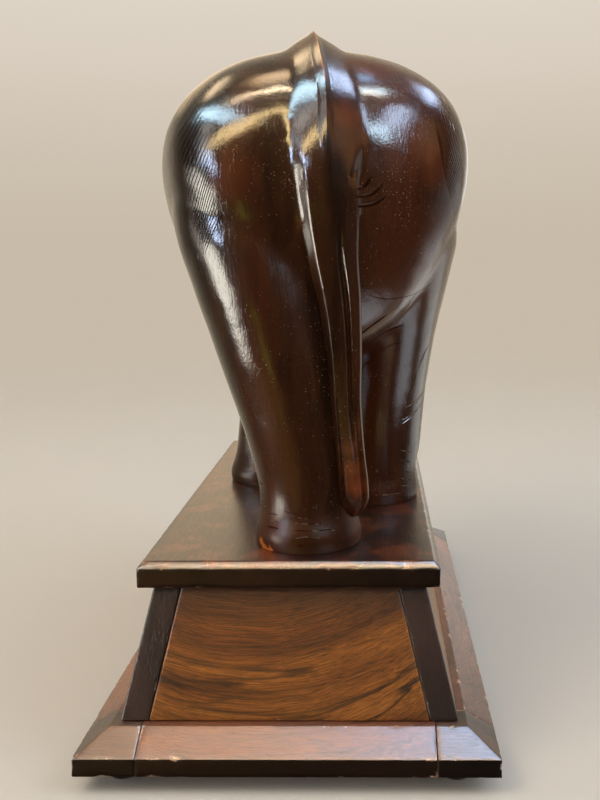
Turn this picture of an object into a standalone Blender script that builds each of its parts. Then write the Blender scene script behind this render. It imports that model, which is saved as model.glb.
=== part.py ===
"""Carved rosewood elephant standing on its own wooden plinth.

Metres, +Z up. The origin is on the floor, under the middle of the plinth. The elephant faces -Y,
turned a little to its left, and walks: its left legs are back and its right legs are forward.
"""
import math

import bmesh
import bpy
import numpy as np
from mathutils import Matrix, Vector

# Plinth, top board
BOARD_WIDTH = 0.180
BOARD_LENGTH = 0.360
BOARD_THICKNESS = 0.0152
BOARD_CHAMFER = 0.0034
BOARD_OVERHANG = 0.0085

# Plinth, tapered body of panels between corner stiles
BODY_HEIGHT = 0.077
BODY_TAPER = 0.0182
PANEL_THICKNESS = 0.011
STILE_WIDTH = 0.0165

# Plinth, base frame of rails between corner blocks
LEDGE_WIDTH = 0.0050
SLOPE_RUN = 0.0175
SLOPE_DROP = 0.0106
BAND_HEIGHT = 0.0106
FRAME_WIDTH = 0.0360

# Plinth, turned feet under the corner blocks
FOOT_HEIGHT = 0.0105
FOOT_TOP_DIAMETER = 0.0235
FOOT_SOLE_DIAMETER = 0.0165
FOOT_INSET = 0.0240
FOOT_SEGMENTS = 32
FOOT_STEPS = 5

# Clearance that keeps two touching pieces apart
JOINT_GAP = 0.0003

# Elephant
ELEPHANT_HEIGHT = 0.328
HEADING = math.radians(10.0)
RUMP_SETBACK = 0.0270
RUMP_OFFSET = 0.0223
CARVING_VOXEL = 0.0036
SMOOTHING_PASSES = 4
CARVING_TRIANGLES = 7600
RING_SIDES = 36
PATH_SIDES = 20
NAIL_SIDES = 12
STEPS_BETWEEN_STATIONS = 2
STEPS_BETWEEN_PATH_ROWS = 3
# Shares of the elephant's height: how far the legs are lofted below their soles before the cut,
# and the thickness, width and length of the slab that cuts them
LEG_SURPLUS = 0.03
SOLE_SLAB = (0.1, 2.0, 4.0)
# Shares: how far out on the sole a nail sits, how much it bulges, and how narrow its top stays
NAIL_REACH = 0.97
NAIL_BULGE = 0.5
NAIL_TOP = 0.2
NAIL_LEVELS = (0.0, 0.5, 0.8, 1.0)

# Heights of the plinth's layers above the floor
FRAME_BOTTOM = FOOT_HEIGHT + JOINT_GAP
FRAME_TOP = FRAME_BOTTOM + BAND_HEIGHT + SLOPE_DROP
BODY_BOTTOM = FRAME_TOP + JOINT_GAP
BODY_TOP = BODY_BOTTOM + BODY_HEIGHT
BOARD_BOTTOM = BODY_TOP + JOINT_GAP
BOARD_TOP = BOARD_BOTTOM + BOARD_THICKNESS
SOLE_LEVEL = BOARD_TOP + JOINT_GAP

# Half sizes of the plinth in plan, across and along
BODY_TOP_HALF = Vector((BOARD_WIDTH / 2 - BOARD_OVERHANG, BOARD_LENGTH / 2 - BOARD_OVERHANG))
BODY_BOTTOM_HALF = BODY_TOP_HALF + Vector((BODY_TAPER, BODY_TAPER))
LEDGE_HALF = BODY_BOTTOM_HALF + Vector((LEDGE_WIDTH, LEDGE_WIDTH))
FRAME_HALF = LEDGE_HALF + Vector((SLOPE_RUN, SLOPE_RUN))

# The elephant is written in shares of its height: along (forward from the rump), sideways (to the
# elephant's right) and up from the soles.
# Trunk of the body: along, top, widest height, belly, half width, sideways shift
BODY_STATIONS = (
    (-0.014, 0.730, 0.655, 0.580, 0.070, 0.000),
    (0.000, 0.810, 0.675, 0.490, 0.155, 0.000),
    (0.030, 0.870, 0.705, 0.420, 0.222, 0.004),
    (0.075, 0.912, 0.720, 0.370, 0.270, 0.010),
    (0.140, 0.940, 0.724, 0.340, 0.298, 0.012),
    (0.220, 0.957, 0.722, 0.325, 0.309, 0.013),
    (0.320, 0.964, 0.712, 0.315, 0.312, 0.013),
    (0.440, 0.962, 0.695, 0.305, 0.307, 0.014),
    (0.545, 0.950, 0.680, 0.300, 0.298, 0.010),
    (0.640, 0.935, 0.665, 0.315, 0.284, 0.005),
    (0.720, 0.925, 0.660, 0.345, 0.260, 0.000),
    (0.786, 0.910, 0.670, 0.385, 0.222, 0.000),
    (0.843, 0.885, 0.690, 0.450, 0.175, 0.000),
    (0.890, 0.840, 0.710, 0.540, 0.110, 0.000),
)
LEFT_BACK_FULLNESS = 2.15
RIGHT_BACK_FULLNESS = 2.35
BELLY_FULLNESS = 1.7

# Each leg: height, along, sideways, half length, half width
HIND_LEFT_LEG = (
    (0.000, 0.066, -0.030, 0.102, 0.104),
    (0.030, 0.066, -0.030, 0.101, 0.102),
    (0.065, 0.068, -0.029, 0.092, 0.094),
    (0.120, 0.072, -0.029, 0.093, 0.097),
    (0.200, 0.080, -0.040, 0.103, 0.106),
    (0.270, 0.092, -0.051, 0.115, 0.116),
    (0.340, 0.104, -0.063, 0.128, 0.128),
    (0.420, 0.118, -0.079, 0.138, 0.138),
    (0.500, 0.132, -0.096, 0.146, 0.148),
    (0.600, 0.148, -0.114, 0.148, 0.158),
    (0.690, 0.160, -0.120, 0.130, 0.150),
    (0.760, 0.170, -0.120, 0.070, 0.090),
)
HIND_RIGHT_LEG = (
    (0.000, 0.366, 0.149, 0.102, 0.104),
    (0.030, 0.366, 0.149, 0.101, 0.102),
    (0.065, 0.366, 0.152, 0.094, 0.095),
    (0.120, 0.362, 0.160, 0.096, 0.098),
    (0.200, 0.354, 0.165, 0.103, 0.101),
    (0.270, 0.344, 0.169, 0.112, 0.105),
    (0.340, 0.330, 0.173, 0.124, 0.113),
    (0.420, 0.310, 0.176, 0.138, 0.123),
    (0.500, 0.286, 0.180, 0.152, 0.137),
    (0.600, 0.250, 0.174, 0.168, 0.152),
    (0.690, 0.225, 0.155, 0.150, 0.132),
    (0.760, 0.210, 0.140, 0.080, 0.080),
)
FRONT_LEFT_LEG = (
    (0.000, 0.567, -0.074, 0.094, 0.096),
    (0.030, 0.567, -0.074, 0.093, 0.095),
    (0.065, 0.568, -0.071, 0.084, 0.086),
    (0.120, 0.572, -0.066, 0.082, 0.084),
    (0.200, 0.584, -0.062, 0.086, 0.084),
    (0.300, 0.600, -0.068, 0.094, 0.092),
    (0.400, 0.616, -0.088, 0.106, 0.104),
    (0.500, 0.632, -0.118, 0.118, 0.116),
    (0.600, 0.646, -0.134, 0.116, 0.118),
    (0.700, 0.655, -0.132, 0.080, 0.084),
)
FRONT_RIGHT_LEG = (
    (0.000, 0.744, 0.112, 0.094, 0.096),
    (0.030, 0.744, 0.112, 0.093, 0.095),
    (0.065, 0.742, 0.112, 0.084, 0.086),
    (0.120, 0.737, 0.112, 0.082, 0.084),
    (0.200, 0.730, 0.116, 0.088, 0.088),
    (0.300, 0.720, 0.122, 0.100, 0.098),
    (0.400, 0.708, 0.128, 0.110, 0.108),
    (0.500, 0.696, 0.134, 0.116, 0.116),
    (0.600, 0.684, 0.136, 0.112, 0.118),
    (0.700, 0.672, 0.130, 0.080, 0.084),
)

# Head, from the neck to the brow: along, top, middle, bottom, half width
HEAD_STATIONS = (
    (0.780, 0.900, 0.760, 0.600, 0.120),
    (0.835, 0.952, 0.790, 0.585, 0.158),
    (0.890, 0.978, 0.805, 0.560, 0.170),
    (0.942, 0.968, 0.800, 0.560, 0.158),
    (0.985, 0.918, 0.785, 0.590, 0.132),
    (1.014, 0.850, 0.760, 0.640, 0.092),
)

# Trunk, down the face to its curled tip: along, sideways, height, half width, half depth
TRUNK_PATH = (
    (0.920, 0.000, 0.830, 0.122, 0.100),
    (0.966, 0.000, 0.770, 0.116, 0.094),
    (1.000, 0.000, 0.690, 0.100, 0.084),
    (1.020, 0.000, 0.590, 0.084, 0.072),
    (1.027, 0.000, 0.480, 0.068, 0.060),
    (1.022, 0.000, 0.370, 0.056, 0.050),
    (1.010, 0.000, 0.280, 0.047, 0.043),
    (1.002, 0.000, 0.205, 0.041, 0.038),
    (1.014, 0.000, 0.150, 0.037, 0.034),
    (1.046, 0.000, 0.126, 0.034, 0.031),
    (1.076, 0.000, 0.146, 0.031, 0.028),
    (1.086, 0.000, 0.184, 0.029, 0.024),
)

# Lower jaw and one tusk, in the same form as the trunk
JAW_PATH = (
    (0.890, 0.000, 0.640, 0.080, 0.060),
    (0.940, 0.000, 0.585, 0.066, 0.048),
    (0.980, 0.000, 0.548, 0.044, 0.030),
    (0.996, 0.000, 0.534, 0.020, 0.014),
)
TUSK_PATH = (
    (0.940, 0.078, 0.640, 0.031, 0.031),
    (0.995, 0.093, 0.588, 0.028, 0.028),
    (1.038, 0.101, 0.556, 0.024, 0.024),
    (1.072, 0.104, 0.548, 0.019, 0.019),
    (1.096, 0.103, 0.556, 0.013, 0.013),
)

# Crest of the spine and the tail, one ridge from the shoulders to the tuft: along, sideways and
# height of its foot, half width of its foot, and how far it stands out
RIDGE_PATH = (
    (0.650, 0.000, 0.930, 0.030, 0.010),
    (0.560, 0.000, 0.946, 0.040, 0.020),
    (0.450, 0.000, 0.954, 0.047, 0.030),
    (0.335, 0.000, 0.958, 0.052, 0.036),
    (0.220, 0.000, 0.952, 0.056, 0.038),
    (0.130, 0.000, 0.932, 0.060, 0.040),
    (0.060, -0.002, 0.886, 0.062, 0.042),
    (0.014, -0.004, 0.826, 0.063, 0.044),
    (-0.006, -0.004, 0.752, 0.062, 0.042),
    (-0.008, -0.003, 0.680, 0.056, 0.040),
    (-0.004, 0.010, 0.610, 0.047, 0.040),
    (-0.002, 0.019, 0.540, 0.040, 0.042),
    (0.000, 0.028, 0.460, 0.033, 0.044),
    (0.002, 0.032, 0.370, 0.029, 0.044),
    (0.006, 0.035, 0.280, 0.027, 0.042),
    (0.010, 0.042, 0.190, 0.028, 0.041),
    (0.014, 0.048, 0.120, 0.031, 0.038),
    (0.018, 0.051, 0.085, 0.027, 0.030),
    (0.022, 0.052, 0.055, 0.010, 0.010),
)
RIDGE_SECTION = (
    (1.00, 0.00), (0.78, 0.36), (0.38, 0.70), (0.00, 1.00),
    (-0.38, 0.70), (-0.78, 0.36), (-1.00, 0.00), (-0.80, -1.00), (0.80, -1.00),
)

# Ear: outline as turn around its middle and reach, in degrees and shares of the height
EAR_CENTRE = (0.815, 0.205, 0.735)
EAR_OUTLINE = (
    (20, 0.130),
    (60, 0.180),
    (95, 0.185),
    (130, 0.175),
    (165, 0.160),
    (200, 0.170),
    (235, 0.195),
    (262, 0.225),
    (290, 0.160),
    (330, 0.115),
)
EAR_THICKNESS = 0.030
EAR_FLARE = 0.22
# From the middle of its face over its rim to its back, which is sunk into the neck
EAR_SECTION = (
    (0.30, 0.50), (0.75, 0.50), (0.95, 0.46), (1.00, 0.20), (1.00, -0.40),
    (0.92, -1.40), (0.70, -2.60), (0.30, -2.60),
)

# Toenails: half width and height of one nail, and their turns from straight ahead, in degrees
NAIL_SIZE = (0.017, 0.022)
NAIL_TURNS = (-56, -28, 0, 28, 56)


def clear_scene():
    for thing in list(bpy.data.objects):
        bpy.data.objects.remove(thing, do_unlink=True)


def make_material(name, colour, roughness, coat):
    material = bpy.data.materials.new(name)
    material.use_nodes = True
    shader = material.node_tree.nodes["Principled BSDF"]
    shader.inputs["Base Color"].default_value = (*colour, 1.0)
    shader.inputs["Roughness"].default_value = roughness
    shader.inputs["Metallic"].default_value = 0.0
    shader.inputs["Coat Weight"].default_value = coat
    material.diffuse_color = (*colour, 1.0)
    return material


def object_from_bmesh(name, mesh_data, material, smooth=False):
    bmesh.ops.recalc_face_normals(mesh_data, faces=mesh_data.faces)
    mesh = bpy.data.meshes.new(name)
    mesh_data.to_mesh(mesh)
    mesh_data.free()
    mesh.materials.append(material)
    if smooth:
        mesh.shade_smooth()
    piece = bpy.data.objects.new(name, mesh)
    bpy.context.scene.collection.objects.link(piece)
    return piece


def prism_between(name, bottom, top, material):
    """One closed block between two outlines that have as many corners each."""
    mesh_data = bmesh.new()
    low = [mesh_data.verts.new(corner) for corner in bottom]
    high = [mesh_data.verts.new(corner) for corner in top]
    mesh_data.faces.new(reversed(low))
    mesh_data.faces.new(high)
    for index, corner in enumerate(low):
        following = (index + 1) % len(low)
        mesh_data.faces.new((corner, low[following], high[following], high[index]))
    return object_from_bmesh(name, mesh_data, material)


def at_height(outline, height):
    return [(x, y, height) for x, y in outline]


def make_top_board(material):
    middle = BOARD_BOTTOM + BOARD_THICKNESS / 2
    mesh_data = bmesh.new()
    bmesh.ops.create_cube(mesh_data, size=1.0)
    bmesh.ops.scale(mesh_data, vec=(BOARD_WIDTH, BOARD_LENGTH, BOARD_THICKNESS), verts=mesh_data.verts)
    bmesh.ops.translate(mesh_data, vec=(0, 0, middle), verts=mesh_data.verts)
    top_edges = [e for e in mesh_data.edges if all(v.co.z > middle for v in e.verts)]
    bmesh.ops.bevel(mesh_data, geom=top_edges, offset=BOARD_CHAMFER, segments=1, affect="EDGES")
    return object_from_bmesh("top_board", mesh_data, material)


def make_stile(name, side_x, side_y, material):
    """A corner post of the tapered body, square in plan and leaning inward."""

    def square(half):
        inner = half - Vector((STILE_WIDTH, STILE_WIDTH))
        corners = ((inner.x, inner.y), (half.x, inner.y), (half.x, half.y), (inner.x, half.y))
        return [(side_x * x, side_y * y) for x, y in corners]

    return prism_between(
        name,
        at_height(square(BODY_BOTTOM_HALF), BODY_BOTTOM),
        at_height(square(BODY_TOP_HALF), BODY_TOP),
        material,
    )


def make_panel(name, turn, material):
    """A panel of the tapered body, flush with the stiles at both of its ends."""

    def strip(half):
        reach, run = (half.y, half.x) if turn in (0, 2) else (half.x, half.y)
        end = run - STILE_WIDTH - JOINT_GAP
        back = reach - PANEL_THICKNESS
        corners = ((-end, back), (end, back), (end, reach), (-end, reach))
        swing = Matrix.Rotation(turn * math.pi / 2, 2)
        return [tuple(swing @ Vector(corner)) for corner in corners]

    return prism_between(
        name,
        at_height(strip(BODY_BOTTOM_HALF), BODY_BOTTOM),
        at_height(strip(BODY_TOP_HALF), BODY_TOP),
        material,
    )


def frame_profile():
    """Section of the base frame, as distances in from the outer face and heights."""
    shoulder = FRAME_BOTTOM + BAND_HEIGHT
    return (
        (0.0, FRAME_BOTTOM),
        (0.0, shoulder),
        (SLOPE_RUN, FRAME_TOP),
        (FRAME_WIDTH, FRAME_TOP),
        (FRAME_WIDTH, FRAME_BOTTOM),
    )


def make_rail(name, turn, material):
    """A rail of the base frame, between two corner blocks."""
    reach, run = (FRAME_HALF.y, FRAME_HALF.x) if turn in (0, 2) else (FRAME_HALF.x, FRAME_HALF.y)
    end = run - FRAME_WIDTH - JOINT_GAP
    swing = Matrix.Rotation(turn * math.pi / 2, 3, "Z")
    near = [tuple(swing @ Vector((-end, reach - inset, height))) for inset, height in frame_profile()]
    far = [tuple(swing @ Vector((end, reach - inset, height))) for inset, height in frame_profile()]
    return prism_between(name, near, far, material)


def make_block(name, side_x, side_y, material):
    """A corner block of the base frame, with its top sloped to both outer faces."""
    shoulder = FRAME_BOTTOM + BAND_HEIGHT
    outer = FRAME_HALF
    ledge = LEDGE_HALF
    inner = FRAME_HALF - Vector((FRAME_WIDTH, FRAME_WIDTH))
    mesh_data = bmesh.new()

    def corner(x, y, height):
        return mesh_data.verts.new((side_x * x, side_y * y, height))

    floor = [corner(inner.x, inner.y, FRAME_BOTTOM), corner(outer.x, inner.y, FRAME_BOTTOM),
             corner(outer.x, outer.y, FRAME_BOTTOM), corner(inner.x, outer.y, FRAME_BOTTOM)]
    side_low = corner(outer.x, inner.y, shoulder)
    tip = corner(outer.x, outer.y, shoulder)
    end_low = corner(inner.x, outer.y, shoulder)
    heart = corner(inner.x, inner.y, FRAME_TOP)
    side_high = corner(ledge.x, inner.y, FRAME_TOP)
    hip = corner(ledge.x, ledge.y, FRAME_TOP)
    end_high = corner(inner.x, ledge.y, FRAME_TOP)
    for face in (
        floor,
        (floor[1], floor[2], tip, side_low),
        (floor[2], floor[3], end_low, tip),
        (heart, side_high, hip, end_high),
        (side_low, tip, hip, side_high),
        (tip, end_low, end_high, hip),
        (floor[0], floor[1], side_low, side_high, heart),
        (floor[3], floor[0], heart, end_high, end_low),
    ):
        mesh_data.faces.new(face)
    return object_from_bmesh(name, mesh_data, material)


def make_foot(name, side_x, side_y, material):
    """A low turned foot: a flat sole, a round side and a flat top under the corner block."""
    top_radius = FOOT_TOP_DIAMETER / 2
    sole_radius = FOOT_SOLE_DIAMETER / 2
    mesh_data = bmesh.new()
    centre_x = side_x * (FRAME_HALF.x - FOOT_INSET)
    centre_y = side_y * (FRAME_HALF.y - FOOT_INSET)
    profile = [(0.0, 0.0)]
    for step in range(FOOT_STEPS + 1):
        turn = math.pi / 2 * step / FOOT_STEPS
        reach = sole_radius + (top_radius - sole_radius) * math.sin(turn)
        profile.append((reach, FOOT_HEIGHT * (1 - math.cos(turn))))
    profile.append((0.0, FOOT_HEIGHT))
    points = [mesh_data.verts.new((x, 0, z)) for x, z in profile]
    edges = [mesh_data.edges.new(pair) for pair in zip(points, points[1:])]
    bmesh.ops.spin(mesh_data, geom=points + edges, cent=(0, 0, 0), axis=(0, 0, 1),
                   angle=2 * math.pi, steps=FOOT_SEGMENTS, use_merge=True)
    bmesh.ops.remove_doubles(mesh_data, verts=mesh_data.verts, dist=0.00001)
    foot = object_from_bmesh(name, mesh_data, material, smooth=True)
    foot.data.set_sharp_from_angle(angle=math.radians(40))
    foot.location = (centre_x, centre_y, 0)
    return foot


def skin_rings(mesh_data, rings):
    """Closes a row of point rings into one tube with capped ends."""
    loops = [[mesh_data.verts.new(point) for point in ring] for ring in rings]
    mesh_data.faces.new(loops[0])
    mesh_data.faces.new(reversed(loops[-1]))
    for ring, following in zip(loops, loops[1:]):
        count = len(ring)
        for index in range(count):
            after = (index + 1) % count
            mesh_data.faces.new((ring[after], ring[index], following[index], following[after]))


def smooth_stations(stations, steps):
    """Reads more stations from a smooth curve through the given ones."""
    table = np.array(stations, dtype=float)
    padded = np.vstack([2 * table[0] - table[1], table, 2 * table[-1] - table[-2]])
    rows = []
    for start in range(len(table) - 1):
        before, here, after, beyond = padded[start:start + 4]
        for step in range(steps):
            t = step / steps
            rows.append(0.5 * (2 * here + (after - before) * t
                               + (2 * before - 5 * here + 4 * after - beyond) * t ** 2
                               + (3 * here - before - 3 * after + beyond) * t ** 3))
    rows.append(table[-1])
    return rows


def spot(along, sideways, height):
    """A point of the elephant in its object's own axes, facing -Y."""
    return Vector((-sideways, -along, height))


def around(count):
    return [2 * math.pi * index / count for index in range(count)]


def rounded(value, fullness):
    return math.copysign(abs(value) ** (2 / fullness), value)


def body_ring(along, top, widest, belly, half_width, shift):
    ring = []
    for turn in around(RING_SIDES):
        if math.sin(turn) > 0:
            fullness = RIGHT_BACK_FULLNESS if math.cos(turn) > 0 else LEFT_BACK_FULLNESS
            reach = top - widest
        else:
            fullness = BELLY_FULLNESS
            reach = widest - belly
        ring.append(spot(along, shift + half_width * rounded(math.cos(turn), fullness),
                         widest + reach * rounded(math.sin(turn), fullness)))
    return ring


def leg_ring(height, along, sideways, half_length, half_width):
    return [spot(along + half_length * math.sin(turn), sideways + half_width * math.cos(turn), height)
            for turn in around(RING_SIDES)]


def path_rings(path, sides):
    """Rings square to a path of (along, sideways, height, half width, half depth) rows."""
    rows = smooth_stations(path, STEPS_BETWEEN_PATH_ROWS)
    points = [spot(*row[:3]) for row in rows]
    rings = []
    for index, row in enumerate(rows):
        heading = points[min(index + 1, len(points) - 1)] - points[max(index - 1, 0)]
        heading.normalize()
        across = Vector((-1, 0, 0))
        across = (across - across.dot(heading) * heading).normalized()
        outward = heading.cross(across)
        rings.append([points[index] + across * row[3] * math.cos(turn) + outward * row[4] * math.sin(turn)
                      for turn in around(sides)])
    return rings


def mirrored(path):
    return tuple((row[0], -row[1], *row[2:]) for row in path)


def ridge_rings():
    """The spine's crest and the tail: a roof section whose foot is sunk into the body."""
    rows = smooth_stations(RIDGE_PATH, STEPS_BETWEEN_PATH_ROWS)
    points = [spot(*row[:3]) for row in rows]
    rings = []
    for index, row in enumerate(rows):
        heading = points[min(index + 1, len(points) - 1)] - points[max(index - 1, 0)]
        heading.normalize()
        across = Vector((-1, 0, 0))
        across = (across - across.dot(heading) * heading).normalized()
        outward = heading.cross(across)
        rings.append([points[index] + across * row[3] * side + outward * row[4] * out
                      for side, out in RIDGE_SECTION])
    return rings


def ear_rings(side):
    """A flat fan, thin at its rim, that leans away from the neck towards the back."""
    turns = np.radians([row[0] for row in EAR_OUTLINE])
    reaches = np.array([row[1] for row in EAR_OUTLINE])
    wrapped_turns = np.concatenate([turns - 2 * np.pi, turns, turns + 2 * np.pi])
    wrapped_reaches = np.tile(reaches, 3)
    rings = []
    for share, lift in EAR_SECTION:
        ring = []
        for turn in around(RING_SIDES):
            reach = share * float(np.interp(turn, wrapped_turns, wrapped_reaches))
            along = EAR_CENTRE[0] + reach * math.cos(turn)
            height = EAR_CENTRE[2] + reach * math.sin(turn)
            outward = EAR_CENTRE[1] - EAR_FLARE * reach * math.cos(turn) + EAR_THICKNESS * lift
            ring.append(spot(along, side * outward, height))
        rings.append(ring)
    return rings


def nail_rings(leg, turn):
    """A small rounded nail on the front of a foot."""
    sole = leg[0]
    half_width, tall = NAIL_SIZE
    facing = math.radians(turn)
    forward = (math.cos(facing), math.sin(facing))
    along = sole[1] + sole[3] * NAIL_REACH * forward[0]
    sideways = sole[2] + sole[4] * NAIL_REACH * forward[1]
    rings = []
    for level in NAIL_LEVELS:
        reach = half_width * math.sqrt(max(1.0 - level ** 2, NAIL_TOP ** 2))
        ring = []
        for t in around(NAIL_SIDES):
            out = NAIL_BULGE * reach * math.cos(t)
            across = reach * math.sin(t)
            ring.append(spot(along + out * forward[0] - across * forward[1],
                             sideways + out * forward[1] + across * forward[0], tall * level))
        rings.append(ring)
    return rings


def make_elephant(material):
    """The whole animal is one carving: its limbs are lofted, fused and smoothed together."""
    mesh_data = bmesh.new()
    skin_rings(mesh_data, [body_ring(*row) for row in smooth_stations(BODY_STATIONS, STEPS_BETWEEN_STATIONS)])
    head_rows = smooth_stations(HEAD_STATIONS, STEPS_BETWEEN_STATIONS)
    skin_rings(mesh_data, [body_ring(*row, 0.0) for row in head_rows])
    legs = (HIND_LEFT_LEG, HIND_RIGHT_LEG, FRONT_LEFT_LEG, FRONT_RIGHT_LEG)
    for leg in legs:
        rows = smooth_stations(leg, STEPS_BETWEEN_STATIONS)
        below = np.array(rows[0]) - np.array((LEG_SURPLUS, 0, 0, 0, 0))
        skin_rings(mesh_data, [leg_ring(*row) for row in [below] + rows])
        for turn in NAIL_TURNS:
            skin_rings(mesh_data, nail_rings(leg, turn))
    for path in (TRUNK_PATH, JAW_PATH, TUSK_PATH, mirrored(TUSK_PATH)):
        skin_rings(mesh_data, path_rings(path, PATH_SIDES))
    skin_rings(mesh_data, ridge_rings())
    for side in (-1, 1):
        skin_rings(mesh_data, ear_rings(side))
    bmesh.ops.scale(mesh_data, vec=(ELEPHANT_HEIGHT,) * 3, verts=mesh_data.verts)

    elephant = object_from_bmesh("elephant", mesh_data, material, smooth=True)
    elephant.location = (-RUMP_OFFSET, BOARD_LENGTH / 2 - RUMP_SETBACK, SOLE_LEVEL)
    elephant.rotation_euler = (0, 0, HEADING)

    fuse = elephant.modifiers.new("fuse", "REMESH")
    fuse.mode = "VOXEL"
    fuse.voxel_size = CARVING_VOXEL
    soften = elephant.modifiers.new("soften", "SMOOTH")
    soften.factor = 0.5
    soften.iterations = SMOOTHING_PASSES
    fine = elephant.evaluated_get(bpy.context.evaluated_depsgraph_get()).to_mesh()
    fine_triangles = sum(len(face.vertices) - 2 for face in fine.polygons)
    thin = elephant.modifiers.new("thin", "DECIMATE")
    thin.ratio = min(1.0, CARVING_TRIANGLES / fine_triangles)
    level = elephant.modifiers.new("level soles", "BOOLEAN")
    level.operation = "DIFFERENCE"
    level.object = make_sole_cutter()
    return elephant


def make_sole_cutter():
    """A slab under the soles that cuts all four of them flat at one level."""
    mesh_data = bmesh.new()
    bmesh.ops.create_cube(mesh_data, size=1.0)
    depth, width, length = (share * ELEPHANT_HEIGHT for share in SOLE_SLAB)
    bmesh.ops.scale(mesh_data, vec=(width, length, depth), verts=mesh_data.verts)
    bmesh.ops.translate(mesh_data, vec=(0, 0, SOLE_LEVEL - depth / 2), verts=mesh_data.verts)
    cutter = object_from_bmesh("sole_cutter", mesh_data, bpy.data.materials["dark_corner_wood"])
    cutter.hide_render = True
    cutter.display_type = "WIRE"
    return cutter


def main():
    clear_scene()
    rosewood = make_material("carved_rosewood", (0.045, 0.014, 0.007), 0.22, 0.6)
    board_wood = make_material("board_rosewood", (0.070, 0.024, 0.014), 0.28, 0.5)
    panel_wood = make_material("panel_rosewood", (0.240, 0.090, 0.025), 0.32, 0.4)
    rail_wood = make_material("rail_rosewood", (0.150, 0.062, 0.038), 0.34, 0.4)
    dark_wood = make_material("dark_corner_wood", (0.016, 0.009, 0.008), 0.34, 0.4)

    sides = (("rear", 0), ("left", 3), ("front", 2), ("right", 1))
    for side_name, turn in sides:
        make_panel(f"panel_{side_name}", turn, panel_wood)
        make_rail(f"base_rail_{side_name}", turn, rail_wood)
    for end_name, side_y in (("rear", 1), ("front", -1)):
        for hand_name, side_x in (("left", 1), ("right", -1)):
            corner_name = f"{end_name}_{hand_name}"
            make_stile(f"stile_{corner_name}", side_x, side_y, dark_wood)
            make_block(f"corner_block_{corner_name}", side_x, side_y, dark_wood)
            make_foot(f"foot_{corner_name}", side_x, side_y, dark_wood)
    make_top_board(board_wood)
    make_elephant(rosewood)


main()
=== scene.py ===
import math

import bmesh
import bpy
import numpy as np
from mathutils import Matrix, Vector, kdtree, noise
from mathutils.bvhtree import BVHTree


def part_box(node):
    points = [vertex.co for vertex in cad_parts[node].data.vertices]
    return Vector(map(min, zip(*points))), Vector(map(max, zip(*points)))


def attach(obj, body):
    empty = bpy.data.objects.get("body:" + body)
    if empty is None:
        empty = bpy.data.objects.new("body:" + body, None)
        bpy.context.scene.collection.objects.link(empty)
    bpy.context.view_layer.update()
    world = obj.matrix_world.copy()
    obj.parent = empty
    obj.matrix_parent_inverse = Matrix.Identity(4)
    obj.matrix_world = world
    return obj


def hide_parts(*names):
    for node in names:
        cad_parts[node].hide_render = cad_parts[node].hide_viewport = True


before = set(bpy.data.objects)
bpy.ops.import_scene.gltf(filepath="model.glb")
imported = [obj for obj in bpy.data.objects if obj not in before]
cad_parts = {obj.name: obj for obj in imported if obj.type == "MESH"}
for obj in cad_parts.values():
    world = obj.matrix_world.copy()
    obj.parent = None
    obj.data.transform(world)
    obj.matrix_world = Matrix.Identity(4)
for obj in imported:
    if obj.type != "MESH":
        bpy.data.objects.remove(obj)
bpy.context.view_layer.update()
scene = bpy.context.scene
millimetre = 0.001


def linear(hexColour):
    channels = [int(hexColour[start:start + 2], 16) / 255 for start in (1, 3, 5)]
    return [c / 12.92 if c <= 0.04045 else ((c + 0.055) / 1.055) ** 2.4 for c in channels] + [1.0]


def addNode(tree, kind, settings, inputs):
    node = tree.nodes.new(kind)
    for key, value in settings.items():
        if key == "stops":
            ramp = node.color_ramp
            while len(ramp.elements) < len(value):
                ramp.elements.new(0.5)
            for element, (position, colour) in zip(ramp.elements, value):
                element.position = position
                element.color = linear(colour)
        else:
            setattr(node, key, value)
    setInputs(tree, node, inputs)
    return node


def setInputs(tree, node, inputs):
    for key, value in inputs.items():
        if isinstance(value, bpy.types.NodeSocket):
            tree.links.new(value, node.inputs[key])
        else:
            node.inputs[key].default_value = value


def shaped(tree, kind, inputs, **settings):
    return addNode(tree, "GeometryNode" + kind, settings, inputs).outputs[0]


def combinedXYZ(tree, *values):
    return addNode(tree, "ShaderNodeCombineXYZ", {}, dict(enumerate(values))).outputs[0]


def separatedXYZ(tree, vector):
    return addNode(tree, "ShaderNodeSeparateXYZ", {}, {0: vector}).outputs


def coordinates(tree, output="Object"):
    return addNode(tree, "ShaderNodeTexCoord", {}, {}).outputs[output]


def calculated(tree, operation, *values, **settings):
    settings["operation"] = operation
    return addNode(tree, "ShaderNodeMath", settings, dict(enumerate(values))).outputs[0]


def summed(tree, operation, first, second):
    return addNode(tree, "ShaderNodeVectorMath", {"operation": operation}, {0: first, 1: second}).outputs[0]


def scaled(tree, vector, size):
    inputs = {0: vector, "Scale": size}
    return addNode(tree, "ShaderNodeVectorMath", {"operation": "SCALE"}, inputs).outputs[0]


def mapped(tree, vector, **inputs):
    inputs["Vector"] = vector
    return addNode(tree, "ShaderNodeMapping", {"vector_type": "POINT"}, inputs).outputs[0]


def ranged(tree, value, low, high, start=0.0, end=1.0, kind="SMOOTHSTEP"):
    # Goes from start to end while the value goes from low to high.
    return addNode(tree, "ShaderNodeMapRange", {"interpolation_type": kind}, {
        "Value": value, "From Min": low, "From Max": high, "To Min": start, "To Max": end}).outputs[0]


def noised(tree, vector, scale, detail=2.0, roughness=0.5, distortion=0.0, output="Fac"):
    return addNode(tree, "ShaderNodeTexNoise", {}, {
        "Vector": vector, "Scale": scale, "Detail": detail, "Roughness": roughness,
        "Distortion": distortion}).outputs[output]


def mixed(tree, share, first, second):
    return addNode(tree, "ShaderNodeMix", {"data_type": "RGBA"}, {0: share, 6: first, 7: second}).outputs[2]


def marked(tree, name):
    return addNode(tree, "ShaderNodeAttribute", {"attribute_name": name}, {}).outputs["Fac"]


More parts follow.
